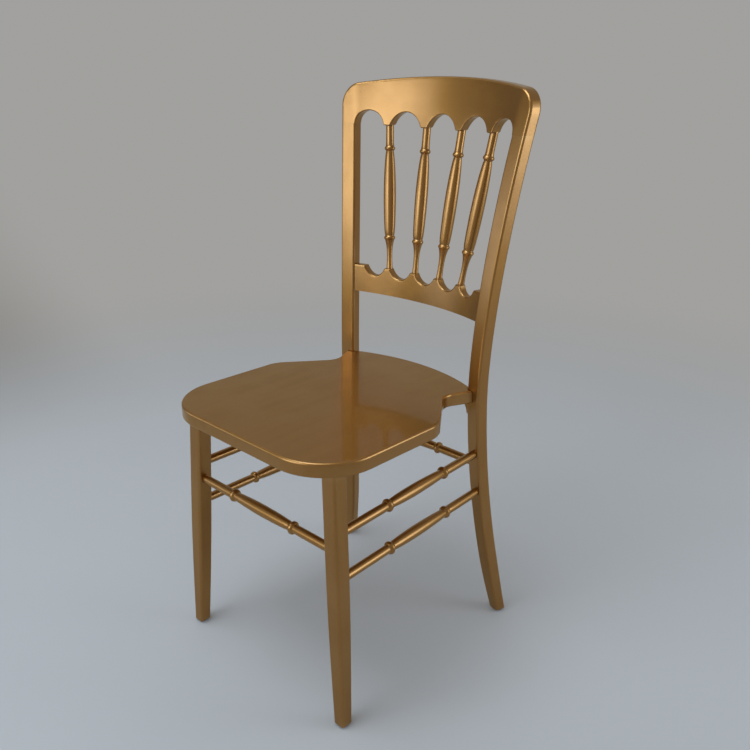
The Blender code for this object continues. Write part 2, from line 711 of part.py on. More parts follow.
def bracket_screw(name, side, steel, bracket, seat):
    """Countersunk screw up through a bracket into the seat."""
    spot = inner_face(side, SEAT_HEIGHT) - post_across(side) * SCREW_REACH
    spot -= post_rearward(side) * (BRACKET_SETBACK + SCREW_FORWARD)
    share = 1.0 - (SCREW_REACH - BRACKET_LIP) / (BRACKET_REACH - BRACKET_LIP)
    hollow = BRACKET_DROP - (BRACKET_DROP - BRACKET_LIP) * math.sqrt(1.0 - share**2)
    spot.z = seat_under(spot.y) - hollow
    frame = Matrix.Translation(spot)
    reach = hollow + SCREW_BITE
    outline = [
        (0.0, SCREW_HEAD_RADIUS),
        (SCREW_HEAD_HEIGHT, SCREW_RADIUS),
        (reach - SCREW_RADIUS, SCREW_RADIUS),
        (reach, FIT_GAP),
    ]
    shank = SCREW_RADIUS + FIT_GAP
    bore(bracket, frame, -BRACKET_DROP, SCREW_HEAD_HEIGHT + FIT_GAP, SCREW_HEAD_RADIUS + FIT_GAP)
    bore(bracket, frame, 0.0, reach, shank)
    bore(seat, frame, 0.0, reach + FIT_GAP, shank)
    return place(name, turned(outline), steel, frame)


def foot_glide(name, foot, leg, nylon):
    """Round glide under a foot, with a shank pressed into the leg."""
    foot.z = 0.0
    frame = Matrix.Translation(foot)
    top = GLIDE_HEIGHT + GLIDE_SHANK_LENGTH
    outline = [
        (0.0, GLIDE_RADIUS - GLIDE_CHAMFER),
        (GLIDE_CHAMFER, GLIDE_RADIUS),
        (GLIDE_HEIGHT, GLIDE_RADIUS),
        (GLIDE_HEIGHT, GLIDE_SHANK_RADIUS),
        (top, GLIDE_SHANK_RADIUS),
    ]
    bore(leg, frame, 0.0, top + FIT_GAP, GLIDE_SHANK_RADIUS + FIT_GAP)
    return place(name, turned(outline), nylon, frame)


def main():
    for item in list(bpy.data.objects):
        bpy.data.objects.remove(item, do_unlink=True)
    chair = bpy.data.objects.new("chair", None)
    bpy.context.scene.collection.objects.link(chair)

    gold, beech, steel, nylon = (finish(name) for name in FINISHES)

    seat = seat_panel(gold)
    crest = crest_rail(gold)
    rail = lower_back_rail(gold)
    posts, legs = {}, {}
    for word, side in SIDES.items():
        posts[word] = back_post(f"{word}_back_post", side, gold)
        notch_seat(seat, side)
        legs[word] = front_leg(f"{word}_front_leg", side, gold, seat)
    for index in range(SPINDLE_COUNT):
        back_spindle(index, gold, rail, crest)

    for word, side in SIDES.items():
        for level, front_height, rear_height in (
            ("upper", UPPER_SIDE_FRONT_HEIGHT, UPPER_SIDE_REAR_HEIGHT),
            ("lower", LOWER_SIDE_FRONT_HEIGHT, LOWER_SIDE_REAR_HEIGHT),
        ):
            start = front_leg_centre(side, front_height)
            end = post_centre(side, rear_height)
            name = f"{word}_{level}_side_stretcher"
            stretcher(name, start, end, gold, legs[word], posts[word], SIDE_FRONT_BEAD_SHARE)
    start, end = (front_leg_centre(side, FRONT_STRETCHER_HEIGHT) for side in (-1, 1))
    pair = (legs["right"], legs["left"])
    stretcher("front_stretcher", start, end, gold, *pair, STRETCHER_BEAD_SHARE)
    start, end = (post_centre(side, REAR_STRETCHER_HEIGHT) for side in (-1, 1))
    pair = (posts["right"], posts["left"])
    stretcher("rear_stretcher", start, end, gold, *pair, STRETCHER_BEAD_SHARE)

    for word, side in SIDES.items():
        post = posts[word]
        top = post_centre(side, CREST_BOTTOM)
        lean = top - post_centre(side, CREST_BOTTOM - DOWEL_HALF_LENGTH)
        for spot, sign in (("inner", -1), ("outer", 1)):
            centre = top + post_across(side) * sign * CREST_DOWEL_OFFSET
            dowel(f"{word}_crest_{spot}_dowel", centre, lean, beech, (post, crest))
        for level, height in (
            ("lower", RAIL_BOTTOM + RAIL_DOWEL_MARGIN),
            ("upper", RAIL_TOP - RAIL_DOWEL_MARGIN),
        ):
            centre = inner_face(side, height) - post_rearward(side) * RAIL_FORWARD
            dowel(f"{word}_rail_{level}_dowel", centre, post_across(side), beech, (post, rail))
        centre = inner_face(side, SEAT_HEIGHT)
        centre.y = BACK_LINE_Y - SEAT_DOWEL_SETBACK
        centre.z = seat_top(centre.y) - SEAT_THICKNESS / 2
        dowel(f"{word}_seat_dowel", centre, Vector((side, 0.0, 0.0)), beech, (post, seat))
        bracket = seat_bracket(f"{word}_seat_bracket", side, gold)
        bracket_screw(f"{word}_bracket_screw", side, steel, bracket, seat)
        foot_glide(f"{word}_front_glide", front_leg_centre(side, 0.0), legs[word], nylon)
        foot_glide(f"{word}_rear_glide", post_centre(side, 0.0), post, nylon)


main()
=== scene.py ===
"""Looks of a gold lacquered dining chair with a turned spindle back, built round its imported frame.

Lengths are in metres, +Z is up, the chair faces -Y and its left side is at +X.
"""

import logging
import math
from collections.abc import Callable, Iterable, Sequence
from dataclasses import dataclass
from enum import Enum

import bmesh
import bpy
from mathutils import Matrix, Vector


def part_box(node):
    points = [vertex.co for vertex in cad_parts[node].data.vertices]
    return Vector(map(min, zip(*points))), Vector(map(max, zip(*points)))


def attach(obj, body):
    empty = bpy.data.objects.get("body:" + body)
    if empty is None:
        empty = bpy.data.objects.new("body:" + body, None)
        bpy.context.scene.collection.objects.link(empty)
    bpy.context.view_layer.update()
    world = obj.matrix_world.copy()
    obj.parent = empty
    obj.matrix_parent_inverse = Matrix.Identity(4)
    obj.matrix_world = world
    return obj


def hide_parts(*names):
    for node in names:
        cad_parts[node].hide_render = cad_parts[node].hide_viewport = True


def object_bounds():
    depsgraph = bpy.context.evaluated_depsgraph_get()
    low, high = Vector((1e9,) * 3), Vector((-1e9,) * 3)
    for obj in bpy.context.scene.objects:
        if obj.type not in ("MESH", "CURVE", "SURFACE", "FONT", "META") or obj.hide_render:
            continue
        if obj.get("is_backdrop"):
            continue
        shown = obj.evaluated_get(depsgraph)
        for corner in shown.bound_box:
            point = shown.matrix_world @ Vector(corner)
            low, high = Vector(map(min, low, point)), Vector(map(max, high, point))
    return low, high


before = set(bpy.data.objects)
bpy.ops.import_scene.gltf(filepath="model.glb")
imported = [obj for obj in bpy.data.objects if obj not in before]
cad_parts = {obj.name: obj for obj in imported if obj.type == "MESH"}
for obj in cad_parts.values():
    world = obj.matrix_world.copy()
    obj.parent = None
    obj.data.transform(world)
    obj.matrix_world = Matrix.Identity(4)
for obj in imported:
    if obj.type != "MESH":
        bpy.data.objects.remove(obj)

LOG = logging.getLogger("chair")
BODY = "root"
FIT_GAP = 0.0003
MERGE = 1e-6
SNAP = 1e-4
SHARP = math.radians(60.0)
LATHE_SIDES = 24
POLISH_LEVELS = 2
BEAD_TURNS = tuple(math.radians(turn) for turn in (-60, -30, 0, 30, 60))
X_AXIS = Vector((1.0, 0.0, 0.0))
Y_AXIS = Vector((0.0, 1.0, 0.0))
Z_AXIS = Vector((0.0, 0.0, 1.0))

Profile = Sequence[tuple[float, float]]
EdgePick = Callable[[bmesh.types.BMEdge], bool]
Colour = tuple[float, float, float, float]
Geometry = Sequence[bmesh.types.BMVert | bmesh.types.BMEdge]
Socket = bpy.types.NodeSocket


class Side(Enum):
    """The chair's two sides, by the sign of X."""

    LEFT = 1
    RIGHT = -1

    @property
    def word(self) -> str:
        """The side's word in the names of the nodes."""
        return self.name.lower()


class Grain(Enum):
    """The way the grain runs in a piece, as the stretch of the grain pattern along X, Y and Z."""

    CROSSWISE = (0.05, 1.0, 1.0)
    LENGTHWISE = (1.0, 0.05, 1.0)
    UPRIGHT = (1.0, 1.0, 0.05)


class Slot(Enum):
    """Material slots of the record."""

    GOLD = "gold_lacquer"
    BEECH = "bare_beech"
    STEEL = "zinc_steel"
    NYLON = "dark_nylon"


class Rounds(Enum):
    """What a rounding takes off a mesh."""

    EDGES = "EDGES"
    CORNERS = "VERTICES"


def between(first: float, last: float, spaces: int) -> list[float]:
    """Divide a length into even spaces.

    Args:
        first: One end of the length.
        last: Its other end.
        spaces: How many spaces there are.

    Returns:
        The places between the spaces, without the ends.
    """
    return [first + (last - first) * step / spaces for step in range(1, spaces)]


def along(start: Vector, end: Vector) -> Matrix:
    """Set up a frame whose Z axis runs from one point to another.

    Args:
        start: The frame's origin.
        end: The point its Z axis goes to.

    Returns:
        The frame as a matrix.
    """
    turn = (end - start).to_track_quat("Z", "Y").to_matrix().to_4x4()
    return Matrix.Translation(start) @ turn


def round_over(
    mesh: bmesh.types.BMesh, geom: Geometry, rounds: Rounds, offset: float, segments: int
) -> None:
    """Bevel edges or corners of a mesh to a round.

    Args:
        mesh: The mesh.
        geom: The edges or the corners.
        rounds: Which of the two they are.
        offset: How far the round reaches from them.
        segments: Steps along the round.
    """
    bmesh.ops.bevel(
        mesh,
        geom=geom,
        offset=offset,
        offset_type="OFFSET",
        affect=rounds.value,
        segments=segments,
        profile=0.5,
        material=-1,
    )


class Stock:
    """A piece of stock on the bench: a bmesh that is sawn, turned, eased and bent into a part."""

    def __init__(self, mesh: bmesh.types.BMesh) -> None:
        """Take a mesh onto the bench."""
        self.mesh = mesh

    @classmethod
    def squared(cls, width: float, depth: float, low: float, high: float) -> "Stock":
        """Plane a length of square stock, upright round the Z axis.

        Args:
            width: Its size along X.
            depth: Its size along Y.
            low: The height of its lower end.
            high: The height of its upper end.

        Returns:
            The squared stock.
        """
        mesh = bmesh.new()
        bmesh.ops.create_cube(mesh, size=1.0)
        bmesh.ops.scale(mesh, vec=(width, depth, high - low), verts=mesh.verts)
        bmesh.ops.translate(mesh, vec=(0.0, 0.0, (low + high) / 2), verts=mesh.verts)
        return cls(mesh)

    @classmethod
    def turned(cls, profile: Profile) -> "Stock":
        """Turn a piece on the lathe, about the Z axis.

        Args:
            profile: (distance, radius) stations from end to end.

        Returns:
            The turned stock, closed at both ends.
        """
        mesh = bmesh.new()
        stations = [(profile[0][0], 0.0), *profile, (profile[-1][0], 0.0)]
        verts = [mesh.verts.new((radius, 0.0, distance)) for distance, radius in stations]
        edges = [mesh.edges.new(pair) for pair in zip(verts, verts[1:])]
        bmesh.ops.spin(
            mesh,
            geom=verts + edges,
            cent=(0.0, 0.0, 0.0),
            axis=Z_AXIS,
            angle=math.tau,
            steps=LATHE_SIDES,
            use_merge=True,
        )
        bmesh.ops.remove_doubles(mesh, verts=mesh.verts, dist=MERGE)
        bmesh.ops.recalc_face_normals(mesh, faces=mesh.faces)
        return cls(mesh)

    def ease(self, pick: EdgePick, radius: float, segments: int) -> "Stock":
        """Round over some of the edges.

        Args:
            pick: Tells whether an edge is rounded.
            radius: How far the rounding reaches over each face.
            segments: Steps round the rounding.

        Returns:
            The same stock.
        """
        edges = [edge for edge in self.mesh.edges if pick(edge)]
        round_over(self.mesh, edges, Rounds.EDGES, radius, segments)
        return self

    def slice(self, axis: Vector, places: Iterable[float]) -> "Stock":
        """Cut edge loops across the stock, so that it can be bent there.

        Args:
            axis: The direction the cuts stand square to.
            places: Where the cuts are, along that direction.

        Returns:
            The same stock.
        """
        for place in places:
            geom = [*self.mesh.verts, *self.mesh.edges, *self.mesh.faces]
            bmesh.ops.bisect_plane(self.mesh, geom=geom, dist=SNAP, plane_co=axis * place, plane_no=axis)
        return self

    def bend(self, shape: Callable[[Vector], Vector]) -> "Stock":
        """Bend the stock to its place in the chair.

        Args:
            shape: Takes a point of the flat stock to its place.

        Returns:
            The same stock.
        """
        for vert in self.mesh.verts:
            vert.co = shape(vert.co.copy())
        bmesh.ops.recalc_face_normals(self.mesh, faces=self.mesh.faces)
        return self

    def lay(self, matrix: Matrix) -> "Stock":
        """Lay the stock in a frame, unbent."""
        bmesh.ops.transform(self.mesh, matrix=matrix, verts=self.mesh.verts)
        return self

    def piece(self, node: str, slot: Slot, material: bpy.types.Material) -> bpy.types.Object:
        """Make the stock a finished piece that stands for a node of the frame.

        Args:
            node: The node's name.
            slot: Not used.
            material: The finish.

        Returns:
            The piece, riding on the chair.
        """
        data = bpy.data.meshes.new(f"finished_{node}")
        self.mesh.to_mesh(data)
        self.mesh.free()
        data.shade_smooth()
        data.set_sharp_from_angle(angle=SHARP)
        data.materials.append(material)
        piece = bpy.data.objects.new(data.name, data)
        bpy.context.scene.collection.objects.link(piece)
        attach(piece, BODY)
        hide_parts(node)
        LOG.info("%s: %d faces", piece.name, len(data.polygons))
        return piece

    def planed(self, node: str, grain: Grain) -> None:
        """Finish a gold piece, and keep its flat faces flat up to their roundings."""
        piece = self.piece(node, Slot.GOLD, gold(grain))
        piece.modifiers.new("level shading", "WEIGHTED_NORMAL").keep_sharp = True

    def polished(self, node: str, slot: Slot, material: bpy.types.Material) -> None:
        """Finish a turned piece, and smooth its stations into one flowing line."""
        polish = self.piece(node, slot, material).modifiers.new("lathe polish", "SUBSURF")
        polish.levels = polish.render_levels = POLISH_LEVELS


class Outline:
    """A closed line drawn flat on a board, by straight lines and arcs."""

    def __init__(self, x: float, y: float) -> None:
        """Set the pencil down.

        Args:
            x: Where the line starts, along the board.
            y: Where it starts, up the board.
        """
        self.mesh = bmesh.new()
        self.first = self.mesh.verts.new((x, y, 0.0))
        self.tip = self.first
        self.corners: list[tuple[bmesh.types.BMVert, float]] = []

    def line_to(self, x: float, y: float, radius: float = 0.0) -> "Outline":
        """Draw a straight line.

        Args:
            x: Where it ends, along the board.
            y: Where it ends, up the board.
            radius: The rounding of the corner it ends at.

        Returns:
            The same outline.
        """
        following = self.mesh.verts.new((x, y, 0.0))
        self.mesh.edges.new((self.tip, following))
        self.tip = following
        return self.rounded(radius)

    def rounded(self, radius: float) -> "Outline":
        """Note that the corner under the pencil gets rounded.

        Args:
            radius: The rounding, or 0 for a sharp corner.

        Returns:
            The same outline.
        """
        if radius > 0.0:
            self.corners.append((self.tip, radius))
        return self

    def swing(self, centre: Vector, angle: float, steps: int) -> list[bmesh.types.BMVert]:
        """Carry the pencil round a centre.

        Args:
            centre: The middle of the arc.
            angle: How far it turns, to the left where positive.
            steps: Steps along the arc.

        Returns:
            The new points of the arc.
        """
        before = set(self.mesh.verts)
        swung = bmesh.ops.spin(
            self.mesh,
            geom=[self.tip],
            cent=centre,
            axis=Z_AXIS,
            angle=angle,
            steps=steps,
        )
        arc = [vert for vert in self.mesh.verts if vert not in before]
        self.tip = next(item for item in swung["geom_last"] if item in arc)
        return arc

    def arch_to(self, x: float, rise: float, steps: int, sweep: float = math.pi) -> "Outline":
        """Draw an arch, an arc stretched upwards, to a place at the same height.

        Args:
            x: Where the arch ends.
            rise: How far it rises, or dips where negative.
            steps: Steps along it.
            sweep: The arc's angle, half a turn for half an ellipse.

        Returns:
            The same outline.
        """
        half = (x - self.tip.co.x) / 2
        depth = half / math.tan(sweep / 2)
        spring = self.tip.co + Vector((half, 0.0, 0.0))
        arc = self.swing(spring - Vector((0.0, depth, 0.0)), -sweep, steps)
        stretch = Vector((1.0, rise / (half / math.sin(sweep / 2) - depth), 1.0))
        bmesh.ops.scale(self.mesh, vec=stretch, verts=arc, space=Matrix.Translation(-spring))
        return self

    def hollow_to(self, x: float, y: float, steps: int) -> "Outline":
        """Draw a hollow quarter of an ellipse to a place below and behind.

        Args:
            x: Where it ends, along the board.
            y: Where it ends, up the board.
            steps: Steps along it.

        Returns:
            The same outline.
        """
        start = self.tip.co.copy()
        centre = Vector((start.x, y, 0.0))
        arc = self.swing(centre, math.pi / 2, steps)
        stretch = Vector(((start.x - x) / (start.y - y), 1.0, 1.0))
        bmesh.ops.scale(self.mesh, vec=stretch, verts=arc, space=Matrix.Translation(-centre))
        return self

    def sawn(self, thickness: float, corner_steps: int = 1) -> Stock:
        """Close the line, round its corners and saw the board out.

        Args:
            thickness: The board's thickness, along Z.
            corner_steps: Steps round each rounded corner.

        Returns:
            The sawn stock, lying on its face.
        """
        self.mesh.edges.new((self.tip, self.first))
        bmesh.ops.contextual_create(self.mesh, geom=[*self.mesh.verts, *self.mesh.edges])
        for corner, radius in self.corners:
            arms = [edge.other_vert(corner).co - corner.co for edge in corner.link_edges]
            offset = radius / math.tan(arms[0].angle(arms[1]) / 2)
            round_over(self.mesh, [corner], Rounds.CORNERS, offset, corner_steps)
        raised = bmesh.ops.extrude_face_region(self.mesh, geom=self.mesh.faces[:])["geom"]
        upper = [item for item in raised if isinstance(item, bmesh.types.BMVert)]
        bmesh.ops.translate(self.mesh, vec=(0.0, 0.0, thickness), verts=upper)
        bmesh.ops.recalc_face_normals(self.mesh, faces=self.mesh.faces)
        return Stock(self.mesh)


@dataclass(frozen=True)
class ChairLines:
    """The lines that the pieces are set out from, with the sizes that drive them."""

    height: float
    rear_foot: Vector
    front_foot: Vector
    seat_height: float = 0.439
    seat_fall: float = 0.021
    seat_reach: float = 0.389
    seat_thickness: float = 0.022
    back_line: float = 0.1447
    back_rake: float = 0.0518
    back_sweep: float = math.radians(23.5)
    back_tilt: float = 0.10
    post_turn: float = math.radians(13.0)
    post_width: float = 0.0275
    post_depth: float = 0.0228
    post_radius: float = 0.004
    post_span: float = 0.2956
    crest_span: float = 0.3764
    spread_power: float = 1.68
    rake_power: float = 1.53
    sweep_power: float = 1.85
    front_leg_half_span: float = 0.1544
    front_leg_reach: float = 0.3368
    glide_height: float = 0.004

    @classmethod
    def from_frame(cls) -> "ChairLines":
        """Take the overall height and the feet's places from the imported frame."""
        feet = [sum(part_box(f"left_{end}_glide"), Vector()) / 2 for end in ("rear", "front")]
        return cls(height=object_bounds()[1][2], rear_foot=feet[0], front_foot=feet[1])

    @property
    def foot_bottom(self) -> float:
        """Height of the legs' lower ends, on the glides."""
        return self.glide_height + FIT_GAP

    def seat_top(self, y: float) -> float:
        """Height of the seat's top face, which falls towards the back."""
        return self.seat_height - self.seat_fall * (y - self.back_line + self.seat_reach / 2)

    def seat_under(self, y: float) -> float:
        """Height of the seat's underside."""
        return self.seat_top(y) - self.seat_thickness

    def post_centre(self, side: Side, height: float) -> Vector:
        """Find the centre of a back post.

        Args:
            side: Which post.
            height: The height of the section.

        Returns:
            The middle of the section: upright at the seat, swept out above and below it.
        """
        if height >= self.seat_height:
            share = (height - self.seat_height) / (self.height - self.seat_height)
            spread = (self.crest_span - self.post_span) / 2 * share**self.spread_power
            rake = self.back_rake * share**self.rake_power
        else:
            sweep = (1.0 - height / self.seat_height) ** self.sweep_power
            spread = (self.rear_foot.x - self.post_span / 2) * sweep
            rake = (self.rear_foot.y - self.back_line) * sweep
        x = side.value * (self.post_span / 2 + spread)
        return Vector((x, self.back_line + rake, height))

    def outward(self, side: Side) -> Vector:
        """Direction along a post's width, away from the chair's middle."""
        return Vector((side.value * math.cos(self.post_turn), -math.sin(self.post_turn), 0.0))

    def rearward(self, side: Side) -> Vector:
        """Direction along a post's depth, towards the rear."""
        return Vector((side.value * math.sin(self.post_turn), math.cos(self.post_turn), 0.0))

    def inner_face(self, side: Side, height: float) -> Vector:
        """Middle of a post's inner face."""
        return self.post_centre(side, height) - self.outward(side) * self.post_width / 2

    def front_leg_centre(self, side: Side, height: float) -> Vector:
        """Find the centre of a splayed front leg.

        Args:
            side: Which leg.
            height: The height of the section.

        Returns:
            The middle of the section.
        """
        top = self.seat_height - self.seat_thickness
        head = Vector((self.front_leg_half_span, self.back_line - self.front_leg_reach, 0.0))
        foot = Vector((self.front_foot.x, self.front_foot.y, 0.0))
        centre = foot.lerp(head, height / top)
        return Vector((side.value * centre.x, centre.y, height))

    def back_length(self, height: float) -> float:
        """Half the length of the back's curve between the posts."""
        edge = self.inner_face(Side.LEFT, height)
        return edge.x / math.sin(self.back_sweep) * self.back_sweep

    def back_point(self, share: float, height: float, offset: float, beyond: float) -> Vector:
        """Find a point of the curved back.

        Args:
            share: From -1 at the right post's inner face to 1 at the left one's.
            height: The point's height.
            offset: How far it lies behind the middle of the thickness.
            beyond: How far it lies past the inner face, over the post.

        Returns:
            The point.
        """
        edge = self.inner_face(Side.LEFT, height)
        radius = edge.x / math.sin(self.back_sweep)
        angle = share * self.back_sweep
        turn = share * self.post_turn
        x = radius * math.sin(angle) + offset * math.sin(turn)
        y = edge.y + radius * (math.cos(angle) - math.cos(self.back_sweep))
        side = Side.LEFT if share >= 0.0 else Side.RIGHT
        return Vector((x, y + offset * math.cos(turn), height)) + self.outward(side) * beyond

    def back_drop(self, share: float, height: float) -> float:
        """How far a curved board drops from its ends, because the back leans."""
        curve = self.back_point(share, height, 0.0, 0.0)
        return self.back_tilt * (curve.y - self.inner_face(Side.LEFT, height).y)


@dataclass(frozen=True)
class LegTaper:
    """How a leg narrows towards the floor."""

    foot: float
    start: float

    def width(self, full: float, height: float) -> float:
        """Find the leg's width at a height.

        Args:
            full: Its width above the taper.
            height: The height.

        Returns:
            The width, which eases to the foot's own at the floor.
        """
        share = min(max(height, 0.0) / self.start, 1.0)
        return self.foot + (full - self.foot) * math.sin(share * math.pi / 2)


class NodeBench:
    """Places and links the nodes of one shader tree."""

    def __init__(self, tree: bpy.types.NodeTree) -> None:
        """Start from an empty tree."""
        self.tree = tree
        tree.nodes.clear()

    def add(self, kind: str, inputs: dict[str | int, object], **settings: object) -> bpy.types.Node:
        """Place a node.

        Args:
            kind: The node's type.
            inputs: Sockets to link or values to set, by the input's name or number.
            settings: Properties of the node.

        Returns:
            The node.
        """
        node = self.tree.nodes.new(kind)
        for key, value in settings.items():
            setattr(node, key, value)
        for key, value in inputs.items():
            if isinstance(value, Socket):
                self.tree.links.new(value, node.inputs[key])
            else:
                node.inputs[key].default_value = value
        return node

    def noise(self, point: Socket, scale: float, detail: float) -> Socket:
        """Noise at a point, from 0 to 1."""
        node = self.add("ShaderNodeTexNoise", {"Vector": point, "Scale": scale, "Detail": detail})
        return node.outputs["Fac"]

    def ramp(self, value: Socket, low: float, high: float) -> Socket:
        """Value stretched so that low becomes 0 and high becomes 1."""
        return self.span(value, low, high, 0.0, 1.0)

    def span(self, value: Socket, low: float, high: float, first: float, last: float) -> Socket:
        """Stretch a value smoothly from one range to another.

        Args:
            value: The value.
            low: Where the first range starts.
            high: Where the first range ends.
            first: What low becomes.
            last: What high becomes.

        Returns:
            The stretched value.
        """
        inputs = {"Value": value, "From Min": low, "From Max": high, "To Min": first, "To Max": last}
        return self.add("ShaderNodeMapRange", inputs, interpolation_type="SMOOTHSTEP").outputs[0]

    def blend(self, mask: Socket, first: float, last: float) -> Socket:
        """Value that goes from the first to the last as a mask goes from 0 to 1."""
        return self.span(mask, 0.0, 1.0, first, last)

    def maths(self, operation: str, first: object, second: object) -> Socket:
        """Sum, product or the like of two values."""
        return self.add("ShaderNodeMath", {0: first, 1: second}, operation=operation).outputs[0]

    def mix(self, share: object, first: object, second: object) -> Socket:
        """Mix two colours.

        Args:
            share: How much of the second there is.
            first: A colour or a socket.
            second: A colour or a socket.

        Returns:
            The mixed colour.
        """
        inputs = {"Factor": share, 6: first, 7: second}
        return self.add("ShaderNodeMix", inputs, data_type="RGBA").outputs[2]


class Effect(Enum):
    """Surface effects that several finishes share, each a node group of the same name."""

    WOOD_GRAIN = "wood_grain"
    LACQUER_FILM = "lacquer_film"
    EDGE_WEAR = "edge_wear"
    DUST = "dust"

    def group(self) -> bpy.types.NodeTree:
        """Fetch the effect's node group, which is built once."""
        return bpy.data.node_groups.get(self.value) or EFFECT_MAKERS[self]()


@dataclass(frozen=True)
class Pattern:
    """A noise pattern: its fineness, the part of its range that is used, and its faintest value."""

    scale: float
    detail: float
    low: float
    high: float
    faint: float = 0.0


BANDS = Pattern(scale=60.0, detail=3.0, low=0.3, high=0.7)
PORES = Pattern(scale=420.0, detail=2.0, low=0.52, high=0.72)
CLOUDS = Pattern(scale=14.0, detail=4.0, low=0.3, high=0.7)
FLECKS = Pattern(scale=1900.0, detail=0.0, low=0.55, high=0.75)
EDGE_PATCHES = Pattern(scale=32.0, detail=3.0, low=0.35, high=0.65, faint=0.35)
DUSTING = Pattern(scale=45.0, detail=6.0, low=0.4, high=0.7, faint=0.2)
PEEL_SCALE = 260.0
PEEL_DETAIL = 1.0
# Pointiness ranges: proud edges are lightened as worn edges with a painted highlight, and hollows are
# darkened as painted shade.
PROUD_BEND = (0.515, 0.60)
HOLLOW_BEND = (0.485, 0.40)
SETTLING = (0.5, 1.0)


class GroupBench(NodeBench):
    """The nodes of one shared effect: a node group that takes a point and a scale."""

    def __init__(self, effect: Effect) -> None:
        """Start the effect's group.

        Args:
            effect: The effect, which gives the group its name.
        """
        tree = bpy.data.node_groups.new(effect.value, "ShaderNodeTree")
        super().__init__(tree)
        tree.interface.new_socket("Point", in_out="INPUT", socket_type="NodeSocketVector")
        scale = tree.interface.new_socket("Scale", in_out="INPUT", socket_type="NodeSocketFloat")
        scale.default_value = 1.0
        source = self.add("NodeGroupInput", {})
        inputs = {0: source.outputs["Point"], "Scale": source.outputs["Scale"]}
        self.point = self.add("ShaderNodeVectorMath", inputs, operation="SCALE").outputs[0]

    def drawn(self, pattern: Pattern) -> Socket:
        """Draw a pattern, from its faintest value up to 1."""
        noise = self.noise(self.point, pattern.scale, pattern.detail)
        return self.span(noise, pattern.low, pattern.high, pattern.faint, 1.0)

    def give(self, **values: Socket) -> bpy.types.NodeTree:
        """Close the group with the values it gives.

        Args:
            values: The values, by their names.

        Returns:
            The node group.
        """
        for name in values:
            self.tree.interface.new_socket(name, in_out="OUTPUT", socket_type="NodeSocketFloat")
        self.add("NodeGroupOutput", values)
        return self.tree


def wood_grain() -> bpy.types.NodeTree:
    """Build the grain that shows faintly through the finish: broad bands and fine pores."""
    bench = GroupBench(Effect.WOOD_GRAIN)
    return bench.give(Tone=bench.drawn(BANDS), Pores=bench.drawn(PORES))


def lacquer_film() -> bpy.types.NodeTree:
    """Build the sprayed film: cloudy patches, orange peel and metallic flecks.

    Returns:
        The node group.
    """
    bench = GroupBench(Effect.LACQUER_FILM)
    peel = bench.noise(bench.point, PEEL_SCALE, PEEL_DETAIL)
    return bench.give(Cloud=bench.drawn(CLOUDS), Peel=peel, Fleck=bench.drawn(FLECKS))


def edge_wear() -> bpy.types.NodeTree:
    """Build the masks of proud edges, worn thin in places and given a painted highlight, and of hollows
    that get painted shade.

    Returns:
        The node group.
    """
    bench = GroupBench(Effect.EDGE_WEAR)
    bend = bench.add("ShaderNodeNewGeometry", {}).outputs["Pointiness"]
    # Build the chair's looks and the studio.
    patches = bench.drawn(EDGE_PATCHES)
    # Proud edges: worn thin in patches, and lightened as a painted highlight.
    proud = bench.maths("MULTIPLY", bench.ramp(bend, *PROUD_BEND), patches)
    # Painted shade: the hollows and creases darken where shade would fall, in patches.
    hollow = bench.maths("MULTIPLY", bench.ramp(bend, *HOLLOW_BEND), patches)
    return bench.give(Proud=proud, Hollow=hollow)


def dust() -> bpy.types.NodeTree:
    """Build the thin dust that settles on faces that look up.

    Returns:
        The node group.
    """
    bench = GroupBench(Effect.DUST)
    normal = bench.add("ShaderNodeNewGeometry", {}).outputs["Normal"]
    upward = bench.add("ShaderNodeSeparateXYZ", {0: normal}).outputs["Z"]
    settled = bench.ramp(upward, *SETTLING)
    return bench.give(Dust=bench.maths("MULTIPLY", settled, bench.drawn(DUSTING)))


EFFECT_MAKERS: dict[Effect, Callable[[], bpy.types.NodeTree]] = {
    Effect.WOOD_GRAIN: wood_grain,
    Effect.LACQUER_FILM: lacquer_film,
    Effect.EDGE_WEAR: edge_wear,
    Effect.DUST: dust,
}


class FinishBench(NodeBench):
    """The nodes of one finish: a Principled shader with the shared effects beside it."""

    def __init__(self, name: str) -> None:
        """Start a material.

        Args:
            name: The material's name.
        """
        self.material = bpy.data.materials.new(name)
        self.material.use_nodes = True
        super().__init__(self.material.node_tree)
        self.point = self.add("ShaderNodeTexCoord", {}).outputs["Object"]

    def effect(
        self, effect: Effect, scale: float = 1.0, point: Socket | None = None
    ) -> bpy.types.NodeOutputs:
        """Place one of the shared effects.

        Args:
            effect: Which one.
            scale: The scale of its pattern.
            point: Where it is read, or the piece's own coordinates.

        Returns:
            The effect's outputs.
        """
        inputs = {"Point": point or self.point, "Scale": scale}
        return self.add("ShaderNodeGroup", inputs, node_tree=effect.group()).outputs

    def bump(self, height: Socket, depth: float) -> Socket:
        """Normal of a surface that is raised by up to a depth."""
        inputs = {"Height": height, "Distance": depth, "Strength": 1.0}
        return self.add("ShaderNodeBump", inputs).outputs["Normal"]

    def shade(self, **inputs: object) -> bpy.types.Material:
        """Finish the material with a Principled shader.

        Args:
            inputs: Its inputs, with underscores for spaces.

        Returns:
            The material.
        """
        named = {key.replace("_", " "): value for key, value in inputs.items()}
        shader = self.add("ShaderNodeBsdfPrincipled", named)
        self.add("ShaderNodeOutputMaterial", {"Surface": shader.outputs[0]})
        return self.material


